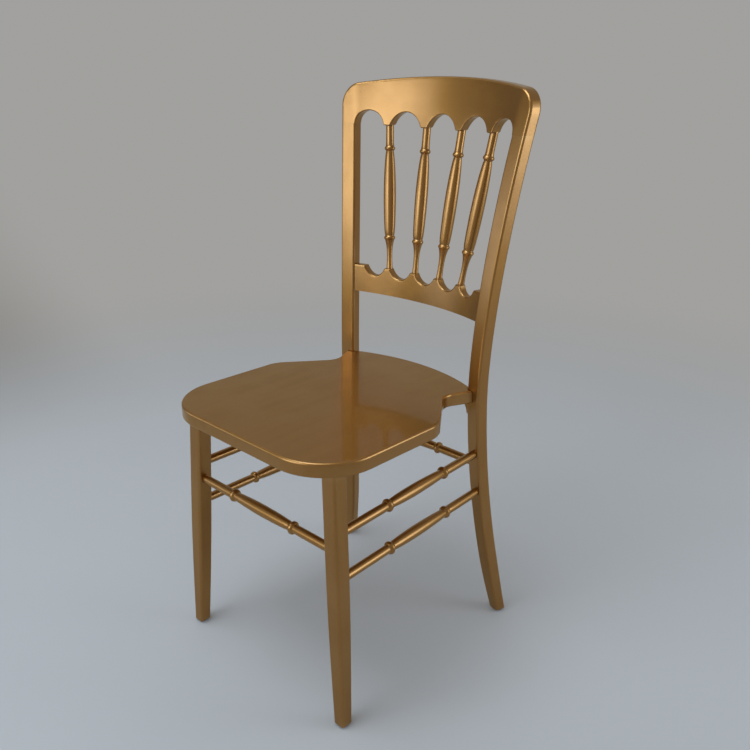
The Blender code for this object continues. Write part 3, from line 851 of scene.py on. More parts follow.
@dataclass(frozen=True)
class GoldLacquer:
    """Gold bronze powder in lacquer, sprayed over beech and cleared, with painted shade in its hollows
    and a painted highlight on its proud edges.
    """

    grain: Grain
    body: Colour = (0.355, 0.169, 0.039, 1.0)
    deep: Colour = (0.317, 0.146, 0.032, 1.0)
    # Lighter gold of the flecks, and of the proud edges, where it is part worn edge and part painted
    # highlight.
    rubbed_and_highlight: Colour = (0.50, 0.30, 0.11, 1.0)
    # Painted shade for the hollows and creases.
    painted_shade: Colour = (0.14, 0.075, 0.025, 1.0)
    dusty: Colour = (0.42, 0.36, 0.28, 1.0)
    grazing: Colour = (1.0, 0.90, 0.62, 1.0)
    metallic: float = 0.97
    smooth: float = 0.31
    rough: float = 0.35
    coat_thick: float = 0.55
    coat_thin: float = 0.47
    coat_roughness: float = 0.08
    fleck_share: float = 0.25
    rubbed_share: float = 0.4
    painted_shade_share: float = 0.3
    dust_share: float = 0.03
    dust_dulling: float = 0.05
    pore_depth: float = 0.5
    relief: float = 0.00006

    def material(self) -> bpy.types.Material:
        """Build the finish for its grain direction, once."""
        name = f"gold_lacquer_{self.grain.name.lower()}"
        return bpy.data.materials.get(name) or self.mixed(FinishBench(name))

    def mixed(self, bench: FinishBench) -> bpy.types.Material:
        """Mix the finish on its bench.

        Args:
            bench: The bench of the new material.

        Returns:
            The material.
        """
        stretch = {"Vector": bench.point, "Scale": self.grain.value}
        streaked = bench.add("ShaderNodeMapping", stretch).outputs[0]
        grain = bench.effect(Effect.WOOD_GRAIN, point=streaked)
        film = bench.effect(Effect.LACQUER_FILM)
        wear_and_shade = bench.effect(Effect.EDGE_WEAR)
        fallen = bench.effect(Effect.DUST)["Dust"]
        shaded = bench.maths("MULTIPLY", grain["Tone"], film["Cloud"])
        colour = bench.mix(shaded, self.body, self.deep)
        for mask, share, tint in (
            (film["Fleck"], self.fleck_share, self.rubbed_and_highlight),
            # Proud edges: worn gold together with a painted highlight.
            (wear_and_shade["Proud"], self.rubbed_share, self.rubbed_and_highlight),
            # Painted shade darkens the hollows and creases.
            (wear_and_shade["Hollow"], self.painted_shade_share, self.painted_shade),
            (fallen, self.dust_share, self.dusty),
        ):
            colour = bench.mix(bench.maths("MULTIPLY", mask, share), colour, tint)
        roughness = bench.blend(film["Cloud"], self.smooth, self.rough)
        roughness = bench.maths("ADD", roughness, bench.maths("MULTIPLY", fallen, self.dust_dulling))
        pores = bench.maths("MULTIPLY", grain["Pores"], self.pore_depth)
        relief = bench.maths("SUBTRACT", film["Peel"], pores)
        return bench.shade(
            Base_Color=colour,
            Metallic=self.metallic,
            Roughness=roughness,
            Specular_Tint=self.grazing,
            Coat_Weight=bench.blend(film["Cloud"], self.coat_thick, self.coat_thin),
            Coat_Roughness=self.coat_roughness,
            Normal=bench.bump(relief, self.relief),
        )


@dataclass(frozen=True)
class BareBeech:
    """Bare beech of the glued dowels."""

    pale: Colour = (0.56, 0.38, 0.22, 1.0)
    dark: Colour = (0.40, 0.25, 0.13, 1.0)
    smooth: float = 0.55
    rough: float = 0.75
    relief: float = 0.0001

    def material(self) -> bpy.types.Material:
        """Build the finish.

        Returns:
            The material.
        """
        bench = FinishBench(Slot.BEECH.value)
        grain = bench.effect(Effect.WOOD_GRAIN)
        return bench.shade(
            Base_Color=bench.mix(grain["Tone"], self.pale, self.dark),
            Roughness=bench.blend(grain["Pores"], self.smooth, self.rough),
            Normal=bench.bump(grain["Pores"], self.relief),
        )


@dataclass(frozen=True)
class ZincSteel:
    """Zinc plated steel of the bracket screws."""

    bright: Colour = (0.62, 0.62, 0.63, 1.0)
    dull: Colour = (0.36, 0.36, 0.38, 1.0)
    metallic: float = 1.0
    smooth: float = 0.28
    rough: float = 0.5
    fineness: float = 6.0
    relief: float = 0.00002

    def material(self) -> bpy.types.Material:
        """Build the finish.

        Returns:
            The material.
        """
        bench = FinishBench(Slot.STEEL.value)
        film = bench.effect(Effect.LACQUER_FILM, self.fineness)
        wear_and_shade = bench.effect(Effect.EDGE_WEAR)
        colour = bench.mix(film["Cloud"], self.bright, self.dull)
        return bench.shade(
            Base_Color=bench.mix(wear_and_shade["Proud"], colour, self.bright),
            Metallic=self.metallic,
            Roughness=bench.blend(film["Cloud"], self.smooth, self.rough),
            Normal=bench.bump(film["Peel"], self.relief),
        )


@dataclass(frozen=True)
class DarkNylon:
    """Moulded nylon of the glides."""

    body: Colour = (0.030, 0.025, 0.020, 1.0)
    scuffed: Colour = (0.10, 0.095, 0.085, 1.0)
    smooth: float = 0.42
    rough: float = 0.6
    fineness: float = 4.0
    relief: float = 0.00005

    def material(self) -> bpy.types.Material:
        """Build the finish.

        Returns:
            The material.
        """
        bench = FinishBench(Slot.NYLON.value)
        film = bench.effect(Effect.LACQUER_FILM, self.fineness)
        wear_and_shade = bench.effect(Effect.EDGE_WEAR)
        return bench.shade(
            Base_Color=bench.mix(wear_and_shade["Proud"], self.body, self.scuffed),
            Roughness=bench.blend(film["Cloud"], self.smooth, self.rough),
            Normal=bench.bump(film["Peel"], self.relief),
        )


def gold(grain: Grain) -> bpy.types.Material:
    """The gold finish for a grain direction."""
    return GoldLacquer(grain).material()


def long_edge(edge: bmesh.types.BMEdge) -> bool:
    """Whether an edge of square stock runs along it."""
    return abs(edge.verts[0].co.z - edge.verts[1].co.z) > SNAP


def rim_edge(edge: bmesh.types.BMEdge) -> bool:
    """Whether an edge of sawn stock lies between a face and the sawn side."""
    level = abs(edge.verts[0].co.z - edge.verts[1].co.z) < SNAP
    return level and edge.calc_face_angle(0.0) > SHARP


@dataclass(frozen=True)
class Seat:
    """The seat panel: round front corners, hollows ahead of the posts and ears that meet them."""

    lines: ChairLines
    width: float = 0.378
    tail: float = 0.030
    front_corner: float = 0.090
    shoulder_setback: float = 0.150
    shoulder_radius: float = 0.045
    waist: float = 0.246
    waist_setback: float = 0.060
    waist_radius: float = 0.028
    ear_bite: float = 0.003
    top_radius: float = 0.004
    top_steps: int = 5
    under_radius: float = 0.002
    under_steps: int = 2
    corner_steps: int = 12
    rear_steps: int = 32

    def outline(self) -> Outline:
        """Draw the seat's plan, from the right ear round the front to the left one.

        Returns:
            The plan, up to the left end of the curved rear edge.
        """
        lines = self.lines
        hold = lines.post_centre(Side.LEFT, lines.seat_height)
        out, rear = lines.outward(Side.LEFT), lines.rearward(Side.LEFT)
        clear_width = lines.post_width / 2 + FIT_GAP
        clear_depth = lines.post_depth / 2 + FIT_GAP
        ear = hold - rear * clear_depth
        notch = hold - rear * clear_depth - out * clear_width
        end = hold - out * clear_width - rear * self.ear_bite
        front = lines.back_line - lines.seat_reach
        left = [
            (self.width / 2, front, self.front_corner),
            (self.width / 2, lines.back_line - self.shoulder_setback, self.shoulder_radius),
            (self.waist / 2, lines.back_line - self.waist_setback, self.waist_radius),
            (ear.x, ear.y, 0.0),
            (notch.x, notch.y, lines.post_radius),
            (end.x, end.y, 0.0),
        ]
        plan = Outline(-end.x, end.y)
        for x, y, radius in reversed(left[:-1]):
            plan.line_to(-x, y, radius)
        for x, y, radius in left:
            plan.line_to(x, y, radius)
        sag = lines.back_line + self.tail - end.y
        radius = (end.x**2 + sag**2) / (2 * sag)
        sweep = math.asin(end.x / radius)
        centre = Vector((0.0, lines.back_line + self.tail - radius, 0.0))
        step = 2 * sweep / self.rear_steps
        plan.swing(centre, 2 * sweep - step, self.rear_steps - 1)
        return plan

    def build(self) -> None:
        """Saw the panel, round its edges over and lay it on the seat's slope."""
        lines = self.lines
        thickness = lines.seat_thickness
        board = self.outline().sawn(thickness, self.corner_steps)

        def upper(edge: bmesh.types.BMEdge) -> bool:
            """Whether an edge runs round the top face."""
            return rim_edge(edge) and edge.verts[0].co.z > thickness / 2

        def lower(edge: bmesh.types.BMEdge) -> bool:
            """Whether an edge runs round the underside."""
            return rim_edge(edge) and edge.verts[0].co.z < SNAP

        def sloped(point: Vector) -> Vector:
            """A point of the panel on the seat's slope."""
            return Vector((point.x, point.y, lines.seat_under(point.y) + point.z))

        board.ease(upper, self.top_radius, self.top_steps)
        board.ease(lower, self.under_radius, self.under_steps).bend(sloped)
        board.planed("seat_panel", Grain.LENGTHWISE)


def round_bead(place: float, half: float, radius: float) -> Profile:
    """Stations of a turned bead.

    Args:
        place: The bead's middle along the piece.
        half: Half its length.
        radius: Its radius at the crown.

    Returns:
        The stations, from one shoulder over the crown to the other.
    """
    ball = half / math.sin(BEAD_TURNS[-1])
    return [(place + ball * math.sin(turn), radius - ball * (1 - math.cos(turn))) for turn in BEAD_TURNS]


@dataclass(frozen=True)
class Spindle:
    """Lathe profile of a back spindle: a slim vase over a thin neck, with a bead near each end."""

    length: float
    tenon: float = 0.013
    foot: float = 0.0060
    neck: float = 0.0047
    low_bead: float = 0.0530
    low_bead_radius: float = 0.0102
    low_groove: float = 0.0079
    low_body: float = 0.0094
    body: float = 0.0111
    high_body: float = 0.0078
    high_groove: float = 0.0062
    high_bead: float = 0.0385
    high_bead_radius: float = 0.0095
    head: float = 0.0068
    bead_half: float = 0.0032
    groove_half: float = 0.0014
    cone: float = 0.012
    flare: float = 0.007
    vase_spaces: int = 4

    def lower_end(self) -> list[tuple[float, float]]:
        """Stations of the thin neck, the cone over it and the lower bead.

        Returns:
            The stations, from the lower tenon's end.
        """
        bead, half = self.low_bead, self.bead_half
        rim = bead - 2 * half
        groove = bead + half + self.groove_half
        return [
            (-self.tenon, self.neck),
            (0.0, self.foot),
            (self.flare, self.neck),
            (rim - self.cone, self.neck),
            (rim, (self.neck + self.low_bead_radius) / 2),
            *round_bead(bead, half, self.low_bead_radius),
            (groove, self.low_groove),
            (groove + 2 * self.groove_half, self.low_body),
        ]

    def upper_end(self) -> list[tuple[float, float]]:
        """Stations of the groove, the upper bead and the stout neck over it.

        Returns:
            The stations, up to the upper tenon's end.
        """
        bead, half = self.length - self.high_bead, self.bead_half
        groove = bead - half - self.groove_half
        return [
            (groove - 2 * self.groove_half, self.high_body),
            (groove, self.high_groove),
            *round_bead(bead, half, self.high_bead_radius),
            (bead + 2 * half, self.head),
            (self.length - self.flare, self.head),
            (self.length + self.tenon, self.head),
        ]

    def profile(self) -> Profile:
        """Stations from the lower tenon's end to the upper one's.

        Returns:
            The stations of the whole spindle.
        """
        lower, upper = self.lower_end(), self.upper_end()
        start, stop = lower[-1][0], upper[0][0]
        middle, half = (start + stop) / 2, (stop - start) / 2
        vase = []
        for place in between(start, stop, self.vase_spaces):
            end = self.low_body if place < middle else self.high_body
            vase.append((place, self.body - (self.body - end) * ((place - middle) / half) ** 2))
        return [*lower, *vase, *upper]


@dataclass(frozen=True)
class Back:
    """The back: two posts, the crest over them, the lower rail between them and four spindles."""

    lines: ChairLines
    taper: LegTaper = LegTaper(foot=0.020, start=0.130)
    crest_bottom: float = 0.837
    crest_thickness: float = 0.018
    crest_crown: float = 0.016
    crest_corner: float = 0.038
    crest_shoulder: float = 0.046
    crest_radius: float = 0.0035
    seam: float = 0.001
    arch_radius: float = 0.0020
    crest_pitch: float = 0.0733
    arch_rise: float = 0.0225
    arch_sweep: float = math.radians(135.0)
    cusp_width: float = 0.0135
    cusp_radius: float = 0.0035
    rail_bottom: float = 0.550
    rail_top: float = 0.597
    rail_thickness: float = 0.015
    rail_forward: float = 0.0015
    rail_pitch: float = 0.0537
    rail_radius: float = 0.0030
    rail_dip: float = 0.0155
    dip_sweep: float = math.radians(120.0)
    bump_width: float = 0.0115
    bump_radius: float = 0.003
    end_bump: float = 0.020
    spindle_count: int = 4
    spindle_setback: float = 0.0018
    arch_steps: int = 24
    edge_steps: int = 4
    fine_edge_steps: int = 3
    corner_steps: int = 10
    bump_steps: int = 5
    post_slices: int = 80
    crest_courses: int = 8
    slice_length: float = 0.006

    def teeth(self, pitch: float) -> list[float]:
        """Places of the spindles along a board."""
        middle = (self.spindle_count - 1) / 2
        return [(index - middle) * pitch for index in range(self.spindle_count)]

    def build_posts(self) -> None:
        """Bend the two posts from the feet into the crest, so that no seam shows."""
        lines = self.lines
        top = self.crest_bottom + self.seam
        for side in Side:
            stock = Stock.squared(lines.post_width, lines.post_depth, lines.foot_bottom, top)
            stock.ease(long_edge, lines.post_radius, self.edge_steps)
            stock.slice(Z_AXIS, between(lines.foot_bottom, top, self.post_slices))

            def bent(point: Vector, side: Side = side) -> Vector:
                """A point of the straight post on its curve.

                Args:
                    point: The point, as the stock was sawn.
                    side: Which post.

                Returns:
                    The point in the chair.
                """
                width = self.taper.width(lines.post_width, point.z)
                depth = self.taper.width(lines.post_depth, point.z)
                across = lines.outward(side) * point.x * width / lines.post_width
                through = lines.rearward(side) * point.y * depth / lines.post_depth
                return lines.post_centre(side, point.z) + across + through

            stock.bend(bent).planed(f"{side.word}_back_post", Grain.UPRIGHT)

    def crest_outline(self, spring: float, end: float) -> Outline:
        """Draw the crest: arches below, a crowned edge above.

        Args:
            spring: Half the length between the posts' inner faces.
            end: Half the whole length.

        Returns:
            The outline.
        """
        bottom, top = self.crest_bottom, self.lines.height
        shoulder = end - self.crest_shoulder
        radius = end**2 / (2 * self.crest_crown)
        sweep = math.asin(shoulder / radius)
        ledge = top - radius * (1.0 - math.cos(sweep))
        corner = ledge - math.tan(sweep) * self.crest_shoulder
        outline = Outline(-end, bottom).line_to(-spring, bottom)
        sweep_in = math.pi
        for tooth in self.teeth(self.crest_pitch):
            outline.arch_to(tooth - self.cusp_width / 2, self.arch_rise, self.arch_steps, sweep_in)
            outline.rounded(self.cusp_radius)
            outline.line_to(tooth + self.cusp_width / 2, bottom, self.cusp_radius)
            sweep_in = self.arch_sweep
        outline.arch_to(spring, self.arch_rise, self.arch_steps)
        outline.line_to(end, bottom).line_to(end, corner, self.crest_corner)
        outline.line_to(shoulder, ledge)
        centre = Vector((0.0, top - radius, 0.0))
        outline.swing(centre, 2 * sweep, 2 * self.arch_steps)
        return outline.line_to(-end, corner, self.crest_corner)

    def build_crest(self) -> None:
        """Saw the crest, round its edges over and bend it to the back's curve."""
        lines, bottom = self.lines, self.crest_bottom
        spring = lines.back_length(bottom)
        end = spring + lines.post_width

        def arch(edge: bmesh.types.BMEdge) -> bool:
            """Whether an edge runs along the arches.

            Args:
                edge: The edge.

            Returns:
                True for an edge of the arches.
            """
            middle = (edge.verts[0].co + edge.verts[1].co) / 2
            inside = abs(middle.x) < spring - SNAP
            return rim_edge(edge) and inside and middle.y < bottom + self.arch_rise + SNAP

        def outer(edge: bmesh.types.BMEdge) -> bool:
            """Whether an edge runs round the ends and the top."""
            middle = (edge.verts[0].co + edge.verts[1].co) / 2
            return rim_edge(edge) and not arch(edge) and middle.y > bottom + SNAP

        def bent(point: Vector) -> Vector:
            """A point of the flat crest on the back's curve.

            Args:
                point: The point, as the board was sawn.

            Returns:
                The point in the chair.
            """
            share = max(-1.0, min(1.0, point.x / spring))
            beyond = max(0.0, abs(point.x) - spring)
            swell = 1.0 + (lines.post_depth / self.crest_thickness - 1.0) * share**2
            offset = (point.z - self.crest_thickness / 2) * swell
            drop = lines.back_drop(share, bottom)
            drop *= (lines.height - point.y) / (lines.height - bottom)
            return lines.back_point(share, point.y - drop, offset, beyond)

        board = self.crest_outline(spring, end).sawn(self.crest_thickness, self.corner_steps)
        board.ease(outer, self.crest_radius, self.edge_steps)
        board.ease(arch, self.arch_radius, self.fine_edge_steps)
        board.slice(X_AXIS, between(-end, end, round(2 * end / self.slice_length)))
        courses = between(bottom, lines.height, self.crest_courses)
        board.slice(Y_AXIS, [bottom + self.seam, *courses])
        board.bend(bent).planed("crest_rail", Grain.CROSSWISE)

    def build_rail(self) -> None:
        """Saw the lower rail, round its edges over and bend it to the back's curve."""
        lines, bottom, top = self.lines, self.rail_bottom, self.rail_top
        length = lines.back_length(top)
        end = length - FIT_GAP
        outline = Outline(-end, bottom).line_to(end, bottom).line_to(end, top)
        outline.line_to(end - self.end_bump, top, self.bump_radius)
        dip = (-self.rail_dip, self.arch_steps, self.dip_sweep)
        for tooth in reversed(self.teeth(self.rail_pitch)):
            outline.arch_to(tooth + self.bump_width / 2, *dip)
            outline.rounded(self.bump_radius)
            outline.line_to(tooth - self.bump_width / 2, top, self.bump_radius)
        outline.arch_to(self.end_bump - end, *dip)
        outline.rounded(self.bump_radius).line_to(-end, top)

        def long_rim(edge: bmesh.types.BMEdge) -> bool:
            """Whether an edge runs along the rail, clear of its ends."""
            return rim_edge(edge) and min(abs(vert.co.x) for vert in edge.verts) < end - SNAP

        def bent(point: Vector) -> Vector:
            """A point of the flat rail on the back's curve.

            Args:
                point: The point, as the board was sawn.

            Returns:
                The point in the chair.
            """
            share = max(-1.0, min(1.0, point.x / length))
            offset = point.z - self.rail_thickness / 2 - self.rail_forward
            drop = lines.back_drop(share, top)
            return lines.back_point(share, point.y - drop, offset, 0.0)

        board = outline.sawn(self.rail_thickness, self.bump_steps)
        board.ease(long_rim, self.rail_radius, self.fine_edge_steps)
        board.slice(X_AXIS, between(-end, end, round(2 * end / self.slice_length)))
        board.bend(bent).planed("lower_back_rail", Grain.CROSSWISE)

    def spindle_ends(self, index: int) -> tuple[Vector, Vector]:
        """Find where a spindle leaves the lower rail and enters the crest.

        Args:
            index: Which spindle, from the chair's right.

        Returns:
            The lower and the upper end of its bare length.
        """
        lines = self.lines
        places = []
        for pitch, height, forward in (
            (self.rail_pitch, self.rail_top, self.rail_forward),
            (self.crest_pitch, self.crest_bottom, 0.0),
        ):
            share = self.teeth(pitch)[index] / lines.back_length(height)
            drop = lines.back_drop(share, height)
            offset = self.spindle_setback - forward
            places.append(lines.back_point(share, height - drop, offset, 0.0))
        return places[0], places[1]

    def build_spindles(self) -> None:
        """Turn the four spindles and set them between the rail and the crest."""
        for index in range(self.spindle_count):
            low, high = self.spindle_ends(index)
            profile = Spindle((high - low).length).profile()
            stock = Stock.turned(profile).lay(along(low, high))
            stock.polished(f"back_spindle_{index + 1}", Slot.GOLD, gold(Grain.UPRIGHT))

    def build(self) -> None:
        """Build the whole back."""
        self.build_posts()
        self.build_crest()
        self.build_rail()
        self.build_spindles()


@dataclass(frozen=True)
class Underframe:
    """The front legs and the six turned stretchers."""

    lines: ChairLines
    leg_width: float = 0.0268
    taper: LegTaper = LegTaper(foot=0.020, start=0.260)
    leg_radius: float = 0.005
    edge_steps: int = 5
    leg_slices: int = 40
    upper_side: tuple[float, float] = (0.3198, 0.3207)
    lower_side: tuple[float, float] = (0.2471, 0.2490)
    front_height: float = 0.2943
    rear_height: float = 0.2985
    stop: float = 0.001
    end_radius: float = 0.0072
    neck_radius: float = 0.0076
    middle_radius: float = 0.0095
    swell_share: float = 0.44
    bead_radius: float = 0.0107
    bead_half: float = 0.0042
    bead_share: float = 0.285
    side_front_share: float = 0.322
    groove_radius: float = 0.0066
    groove_half: float = 0.0014

    def build_legs(self) -> None:
        """Plane the two front legs, taper and splay them."""
        lines = self.lines
        top = lines.seat_height - lines.seat_thickness
        for side in Side:
            stock = Stock.squared(self.leg_width, self.leg_width, lines.foot_bottom, top)
            stock.ease(long_edge, self.leg_radius, self.edge_steps)
            stock.slice(Z_AXIS, between(lines.foot_bottom, top, self.leg_slices))

            def splayed(point: Vector, side: Side = side) -> Vector:
                """A point of the straight leg on its splayed line.

                Args:
                    point: The point, as the stock was sawn.
                    side: Which leg.

                Returns:
                    The point in the chair.
                """
                width = self.taper.width(self.leg_width, point.z) / self.leg_width
                across = Vector((point.x * width, point.y * width, 0.0))
                place = lines.front_leg_centre(side, point.z) + across
                if point.z > top - SNAP:
                    place.z = lines.seat_under(place.y) - FIT_GAP
                return place

            stock.bend(splayed).planed(f"{side.word}_front_leg", Grain.UPRIGHT)

    def end_stations(self, length: float, bead_share: float) -> list[tuple[float, float]]:
        """Stations of one end of a stretcher, up to its swelling.

        Args:
            length: The stretcher's length between the legs' middles.
            bead_share: The bead's place along it.

        Returns:
            The stations, from the end.
        """
        place, half = length * bead_share, self.bead_half
        groove = half + self.groove_half
        return [
            (self.stop, self.end_radius),
            (self.leg_width, self.end_radius),
            (place - groove - 2 * self.groove_half, self.neck_radius),
            (place - groove, self.groove_radius),
            *round_bead(place, half, self.bead_radius),
            (place + groove, self.groove_radius),
            (place + groove + 2 * self.groove_half, self.neck_radius),
            (length * self.swell_share, self.middle_radius),
        ]

    def build_stretcher(
        self, node: str, start: Vector, end: Vector, grain: Grain, first_share: float
    ) -> None:
        """Turn a stretcher with two grooved beads and set it between two legs.

        Args:
            node: The node it stands for.
            start: A point on the first leg's middle line.
            end: A point on the second leg's middle line.
            grain: The way it runs.
            first_share: The first bead's place along it.
        """
        length = (end - start).length
        far = [(length - place, radius) for place, radius in self.end_stations(length, self.bead_share)]
        profile = [*self.end_stations(length, first_share), *reversed(far)]
        Stock.turned(profile).lay(along(start, end)).polished(node, Slot.GOLD, gold(grain))

    def build(self) -> None:
        """Build the legs and the stretchers."""
        self.build_legs()
        lines = self.lines
        for side in Side:
            for level, heights in (("upper", self.upper_side), ("lower", self.lower_side)):
                start = lines.front_leg_centre(side, heights[0])
                end = lines.post_centre(side, heights[1])
                node = f"{side.word}_{level}_side_stretcher"
                self.build_stretcher(node, start, end, Grain.LENGTHWISE, self.side_front_share)
        across = (
            ("front_stretcher", lines.front_leg_centre, self.front_height),
            ("rear_stretcher", lines.post_centre, self.rear_height),
        )
        for node, centre, height in across:
            start, end = centre(Side.RIGHT, height), centre(Side.LEFT, height)
            self.build_stretcher(node, start, end, Grain.CROSSWISE, self.bead_share)


@dataclass(frozen=True)
class Glide:
    """Lathe profile of a glide: a domed button with a shank."""

    radius: float
    height: float
    button: float
    face_share: float = 0.8
    dome_share: float = 0.3
    shank: float = 0.002
    collar: float = 0.001

    def profile(self) -> Profile:
        """Stations from the floor to the shank's end."""
        return [
            (0.0, self.radius * self.face_share),
            (self.button * self.dome_share, self.radius),
            (self.button, self.radius),
            (self.button, self.shank + self.collar),
            (self.button, self.shank),
            (self.height, self.shank),
        ]


@dataclass(frozen=True)
class Fittings:
    """The knee brackets under the seat, their screws, the glides and the hidden dowels."""

    lines: ChairLines
    reach: float = 0.022
    drop: float = 0.024
    lip: float = 0.004
    depth: float = 0.014
    setback: float = 0.002
    radius: float = 0.0012
    edge_steps: int = 2
    hollow_steps: int = 14

    def build_brackets(self) -> None:
        """Saw the two knee brackets and set them between the posts and the seat."""
        lines = self.lines
        level = lines.seat_under(lines.inner_face(Side.LEFT, lines.seat_height).y)
        for side in Side:
            outline = Outline(0.0, -self.drop).line_to(0.0, 0.0).line_to(self.reach, 0.0)
            outline.line_to(self.reach, -self.lip)
            outline.hollow_to(self.lip, -self.drop, self.hollow_steps)

            def seated(point: Vector, side: Side = side) -> Vector:
                """A point of the flat bracket at its place against the post.

                Args:
                    point: The point, as the stock was sawn.
                    side: Which bracket.

                Returns:
                    The point in the chair.
                """
                inward = lines.outward(side) * -(point.x + FIT_GAP)
                through = lines.rearward(side) * (point.z - self.depth / 2 - self.setback)
                place = lines.inner_face(side, level + point.y) + inward + through
                place.z = lines.seat_under(place.y) - FIT_GAP + point.y
                return place

            board = outline.sawn(self.depth).ease(rim_edge, self.radius, self.edge_steps).bend(seated)
            board.planed(f"{side.word}_seat_bracket", Grain.UPRIGHT)

    def build_glides(self) -> None:
        """Turn the four glides."""
        nylon = DarkNylon().material()
        for side in Side:
            for end in ("front", "rear"):
                node = f"{side.word}_{end}_glide"
                low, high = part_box(node)
                profile = Glide((high.x - low.x) / 2, high.z - low.z, self.lines.glide_height).profile()
                middle = (low + high) / 2
                place = Matrix.Translation((middle.x, middle.y, low.z))
                Stock.turned(profile).lay(place).polished(node, Slot.NYLON, nylon)

    def dress_hidden(self) -> None:
        """Give the screws and the dowels, which keep the frame's own shapes, their finishes."""
        finishes = {"_dowel": BareBeech().material(), "_screw": ZincSteel().material()}
        for name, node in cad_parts.items():
            for ending, material in finishes.items():
                if name.endswith(ending):
                    node.data.materials.clear()
                    node.data.materials.append(material)
                    LOG.info("%s: dressed", name)

    def build(self) -> None:
        """Build the fittings."""
        self.build_brackets()
        self.build_glides()
        self.dress_hidden()


@dataclass(frozen=True)
class SoftBox:
    """A lamp that glows most in its middle and fades towards its edges."""

    name: str
    place: Vector
    size: Vector
    radiance: float
    colour: Colour = (0.85, 1.0, 1.15, 1.0)
    core: float = 0.1
    rim: float = 0.5
    aim: Vector = Vector((0.0, 0.0, 0.7))

    def build(self) -> None:
        """Hang the lamp, turned towards the chair's back."""
        lamp = bpy.data.lights.new(self.name, "AREA")
        lamp.shape = "RECTANGLE"
        lamp.size, lamp.size_y = self.size
        lamp.energy = self.radiance * math.pi * self.size.x * self.size.y
        lamp.use_nodes = True
        bench = NodeBench(lamp.node_tree)
        spot = bench.add("ShaderNodeNewGeometry", {}).outputs["Parametric"]
        inputs = {0: spot, 1: (self.rim, self.rim, 0.0)}
        away = bench.add("ShaderNodeVectorMath", inputs, operation="DISTANCE").outputs["Value"]
        soft = {"Color": self.colour, "Strength": bench.ramp(away, self.rim, self.core)}
        glow = bench.add("ShaderNodeEmission", soft)
        bench.add("ShaderNodeOutputLight", {"Surface": glow.outputs[0]})
        item = bpy.data.objects.new(self.name, lamp)
        item.matrix_world = along(self.place, 2 * self.place - self.aim)
        item.visible_camera = False
        bpy.context.scene.collection.objects.link(item)


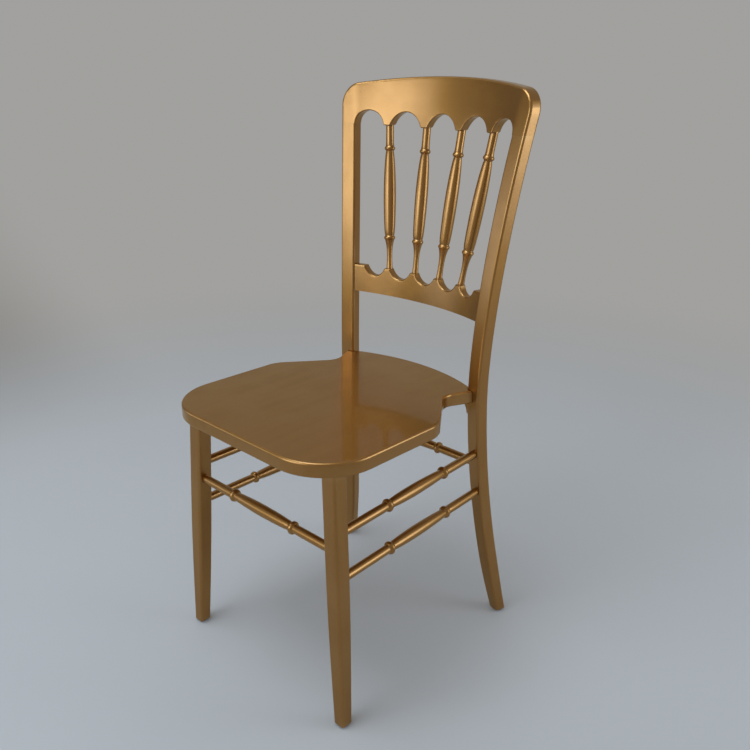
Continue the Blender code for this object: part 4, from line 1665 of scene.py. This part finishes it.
@dataclass(frozen=True)
class Studio:
    """The pale floor, the soft lamps, the world and the camera."""

    floor_colour: Colour = (0.42, 0.4235, 0.427, 1.0)
    backdrop: Colour = (0.36, 0.355, 0.345, 1.0)
    dim: Colour = (0.215, 0.205, 0.19, 1.0)
    dim_way: Vector = Vector((-0.88, -0.47, 0.0))
    pale_until: float = 0.68
    dim_from: float = 0.93
    ambient: float = 0.68
    lamps: tuple[SoftBox, ...] = (
        SoftBox("front_lamp", Vector((-0.60, -2.65, 1.35)), Vector((3.3, 2.8)), 3.5),
        SoftBox("fill_lamp", Vector((-2.15, -1.60, 0.65)), Vector((2.2, 1.7)), 1.5),
        SoftBox("side_lamp", Vector((1.95, 1.22, 0.92)), Vector((1.8, 2.3)), 3.5),
        SoftBox("top_lamp", Vector((-0.35, -0.70, 2.8)), Vector((2.2, 2.2)), 6.0),
    )
    floor_size: float = 40.0
    floor_cells: int = 8
    floor_fineness: float = 0.1
    floor_mottle: float = 0.97
    fade_start: float = 0.8
    fade_end: float = 2.4
    camera_place: tuple[float, float, float] = (0.8616, -0.8630, 0.9463)
    camera_pitch: float = math.radians(90.0 - 21.6402)
    camera_turn: float = math.radians(43.196)
    picture_width: float = 750.0
    focal_pixels: float = 805.34
    sensor: float = 36.0

    def seen_directly(self, bench: NodeBench) -> Socket:
        """Mask of what the lens, the gloss and clear things see, against what only lights.

        Args:
            bench: The bench of the tree that needs the mask.

        Returns:
            The mask.
        """
        path = bench.add("ShaderNodeLightPath", {})
        seen = bench.maths("MAXIMUM", path.outputs["Is Camera Ray"], path.outputs["Is Glossy Ray"])
        return bench.maths("MAXIMUM", seen, path.outputs["Is Transmission Ray"])

    def surroundings(self, bench: NodeBench, way: Socket) -> Socket:
        """Colour round the chair: the pale backdrop, and a dimmer part at the front left.

        Args:
            bench: The bench of the tree that needs the colour.
            way: The direction that is looked in.

        Returns:
            The colour.
        """
        inputs = {0: way, 1: self.dim_way}
        facing = bench.add("ShaderNodeVectorMath", inputs, operation="DOT_PRODUCT").outputs["Value"]
        return bench.mix(bench.ramp(facing, self.pale_until, self.dim_from), self.backdrop, self.dim)

    def build_floor(self) -> None:
        """Lay the floor, which fades into the surroundings away from the chair."""
        bench = FinishBench("studio_floor")
        cloud = bench.effect(Effect.LACQUER_FILM, self.floor_fineness)["Cloud"]
        shade = tuple(self.floor_mottle * part for part in self.floor_colour[:3])
        colour = bench.mix(cloud, self.floor_colour, (*shade, 1.0))
        plain = bench.add("ShaderNodeBsdfDiffuse", {"Color": colour})
        away = bench.add("ShaderNodeVectorMath", {0: bench.point}, operation="LENGTH").outputs["Value"]
        fade = bench.ramp(away, self.fade_start, self.fade_end)
        way = bench.add("ShaderNodeVectorMath", {0: bench.point}, operation="NORMALIZE").outputs[0]
        far = bench.add("ShaderNodeEmission", {"Color": self.surroundings(bench, way), "Strength": 1.0})
        share = bench.maths("MULTIPLY", fade, self.seen_directly(bench))
        mixed = bench.add("ShaderNodeMixShader", {0: share, 1: plain.outputs[0], 2: far.outputs[0]})
        bench.add("ShaderNodeOutputMaterial", {"Surface": mixed.outputs[0]})
        mesh, cells = bmesh.new(), self.floor_cells
        bmesh.ops.create_grid(mesh, x_segments=cells, y_segments=cells, size=self.floor_size / 2)
        data = bpy.data.meshes.new("studio_floor")
        mesh.to_mesh(data)
        mesh.free()
        data.materials.append(bench.material)
        floor = bpy.data.objects.new("studio_floor", data)
        bpy.context.scene.collection.objects.link(floor)
        floor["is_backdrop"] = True

    def build_world(self) -> None:
        """Set the soft light all round, and the surroundings that are seen instead of it."""
        world = bpy.data.worlds.new("studio")
        world.use_nodes = True
        bench = NodeBench(world.node_tree)
        seen = self.seen_directly(bench)
        light = bench.add("ShaderNodeBackground", {"Strength": self.ambient})
        way = bench.add("ShaderNodeTexCoord", {}).outputs["Generated"]
        shown = bench.add("ShaderNodeBackground", {"Color": self.surroundings(bench, way)})
        mixed = bench.add("ShaderNodeMixShader", {0: seen, 1: light.outputs[0], 2: shown.outputs[0]})
        bench.add("ShaderNodeOutputWorld", {"Surface": mixed.outputs[0]})
        bpy.context.scene.world = world

    def build_camera(self) -> None:
        """Set the camera up at the picture's viewing angle."""
        lens = bpy.data.cameras.new("camera")
        lens.sensor_width = self.sensor
        lens.lens = self.sensor * self.focal_pixels / self.picture_width
        camera = bpy.data.objects.new("camera", lens)
        camera.location = self.camera_place
        camera.rotation_euler = (self.camera_pitch, 0.0, self.camera_turn)
        bpy.context.scene.collection.objects.link(camera)
        bpy.context.scene.camera = camera

    def build(self) -> None:
        """Build the studio."""
        self.build_floor()
        self.build_world()
        for lamp in self.lamps:
            lamp.build()
        self.build_camera()
        bpy.context.scene.view_settings.view_transform = "Standard"


def main() -> None:
    """Build the chair's looks and the studio, and note both boxes."""
    logging.basicConfig(level=logging.INFO, format="%(message)s")
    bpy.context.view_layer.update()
    lines = ChairLines.from_frame()
    for assembly in (Seat(lines), Back(lines), Underframe(lines), Fittings(lines), Studio()):
        assembly.build()
        LOG.info("%s built", type(assembly).__name__)


if __name__ == "__main__":
    main()
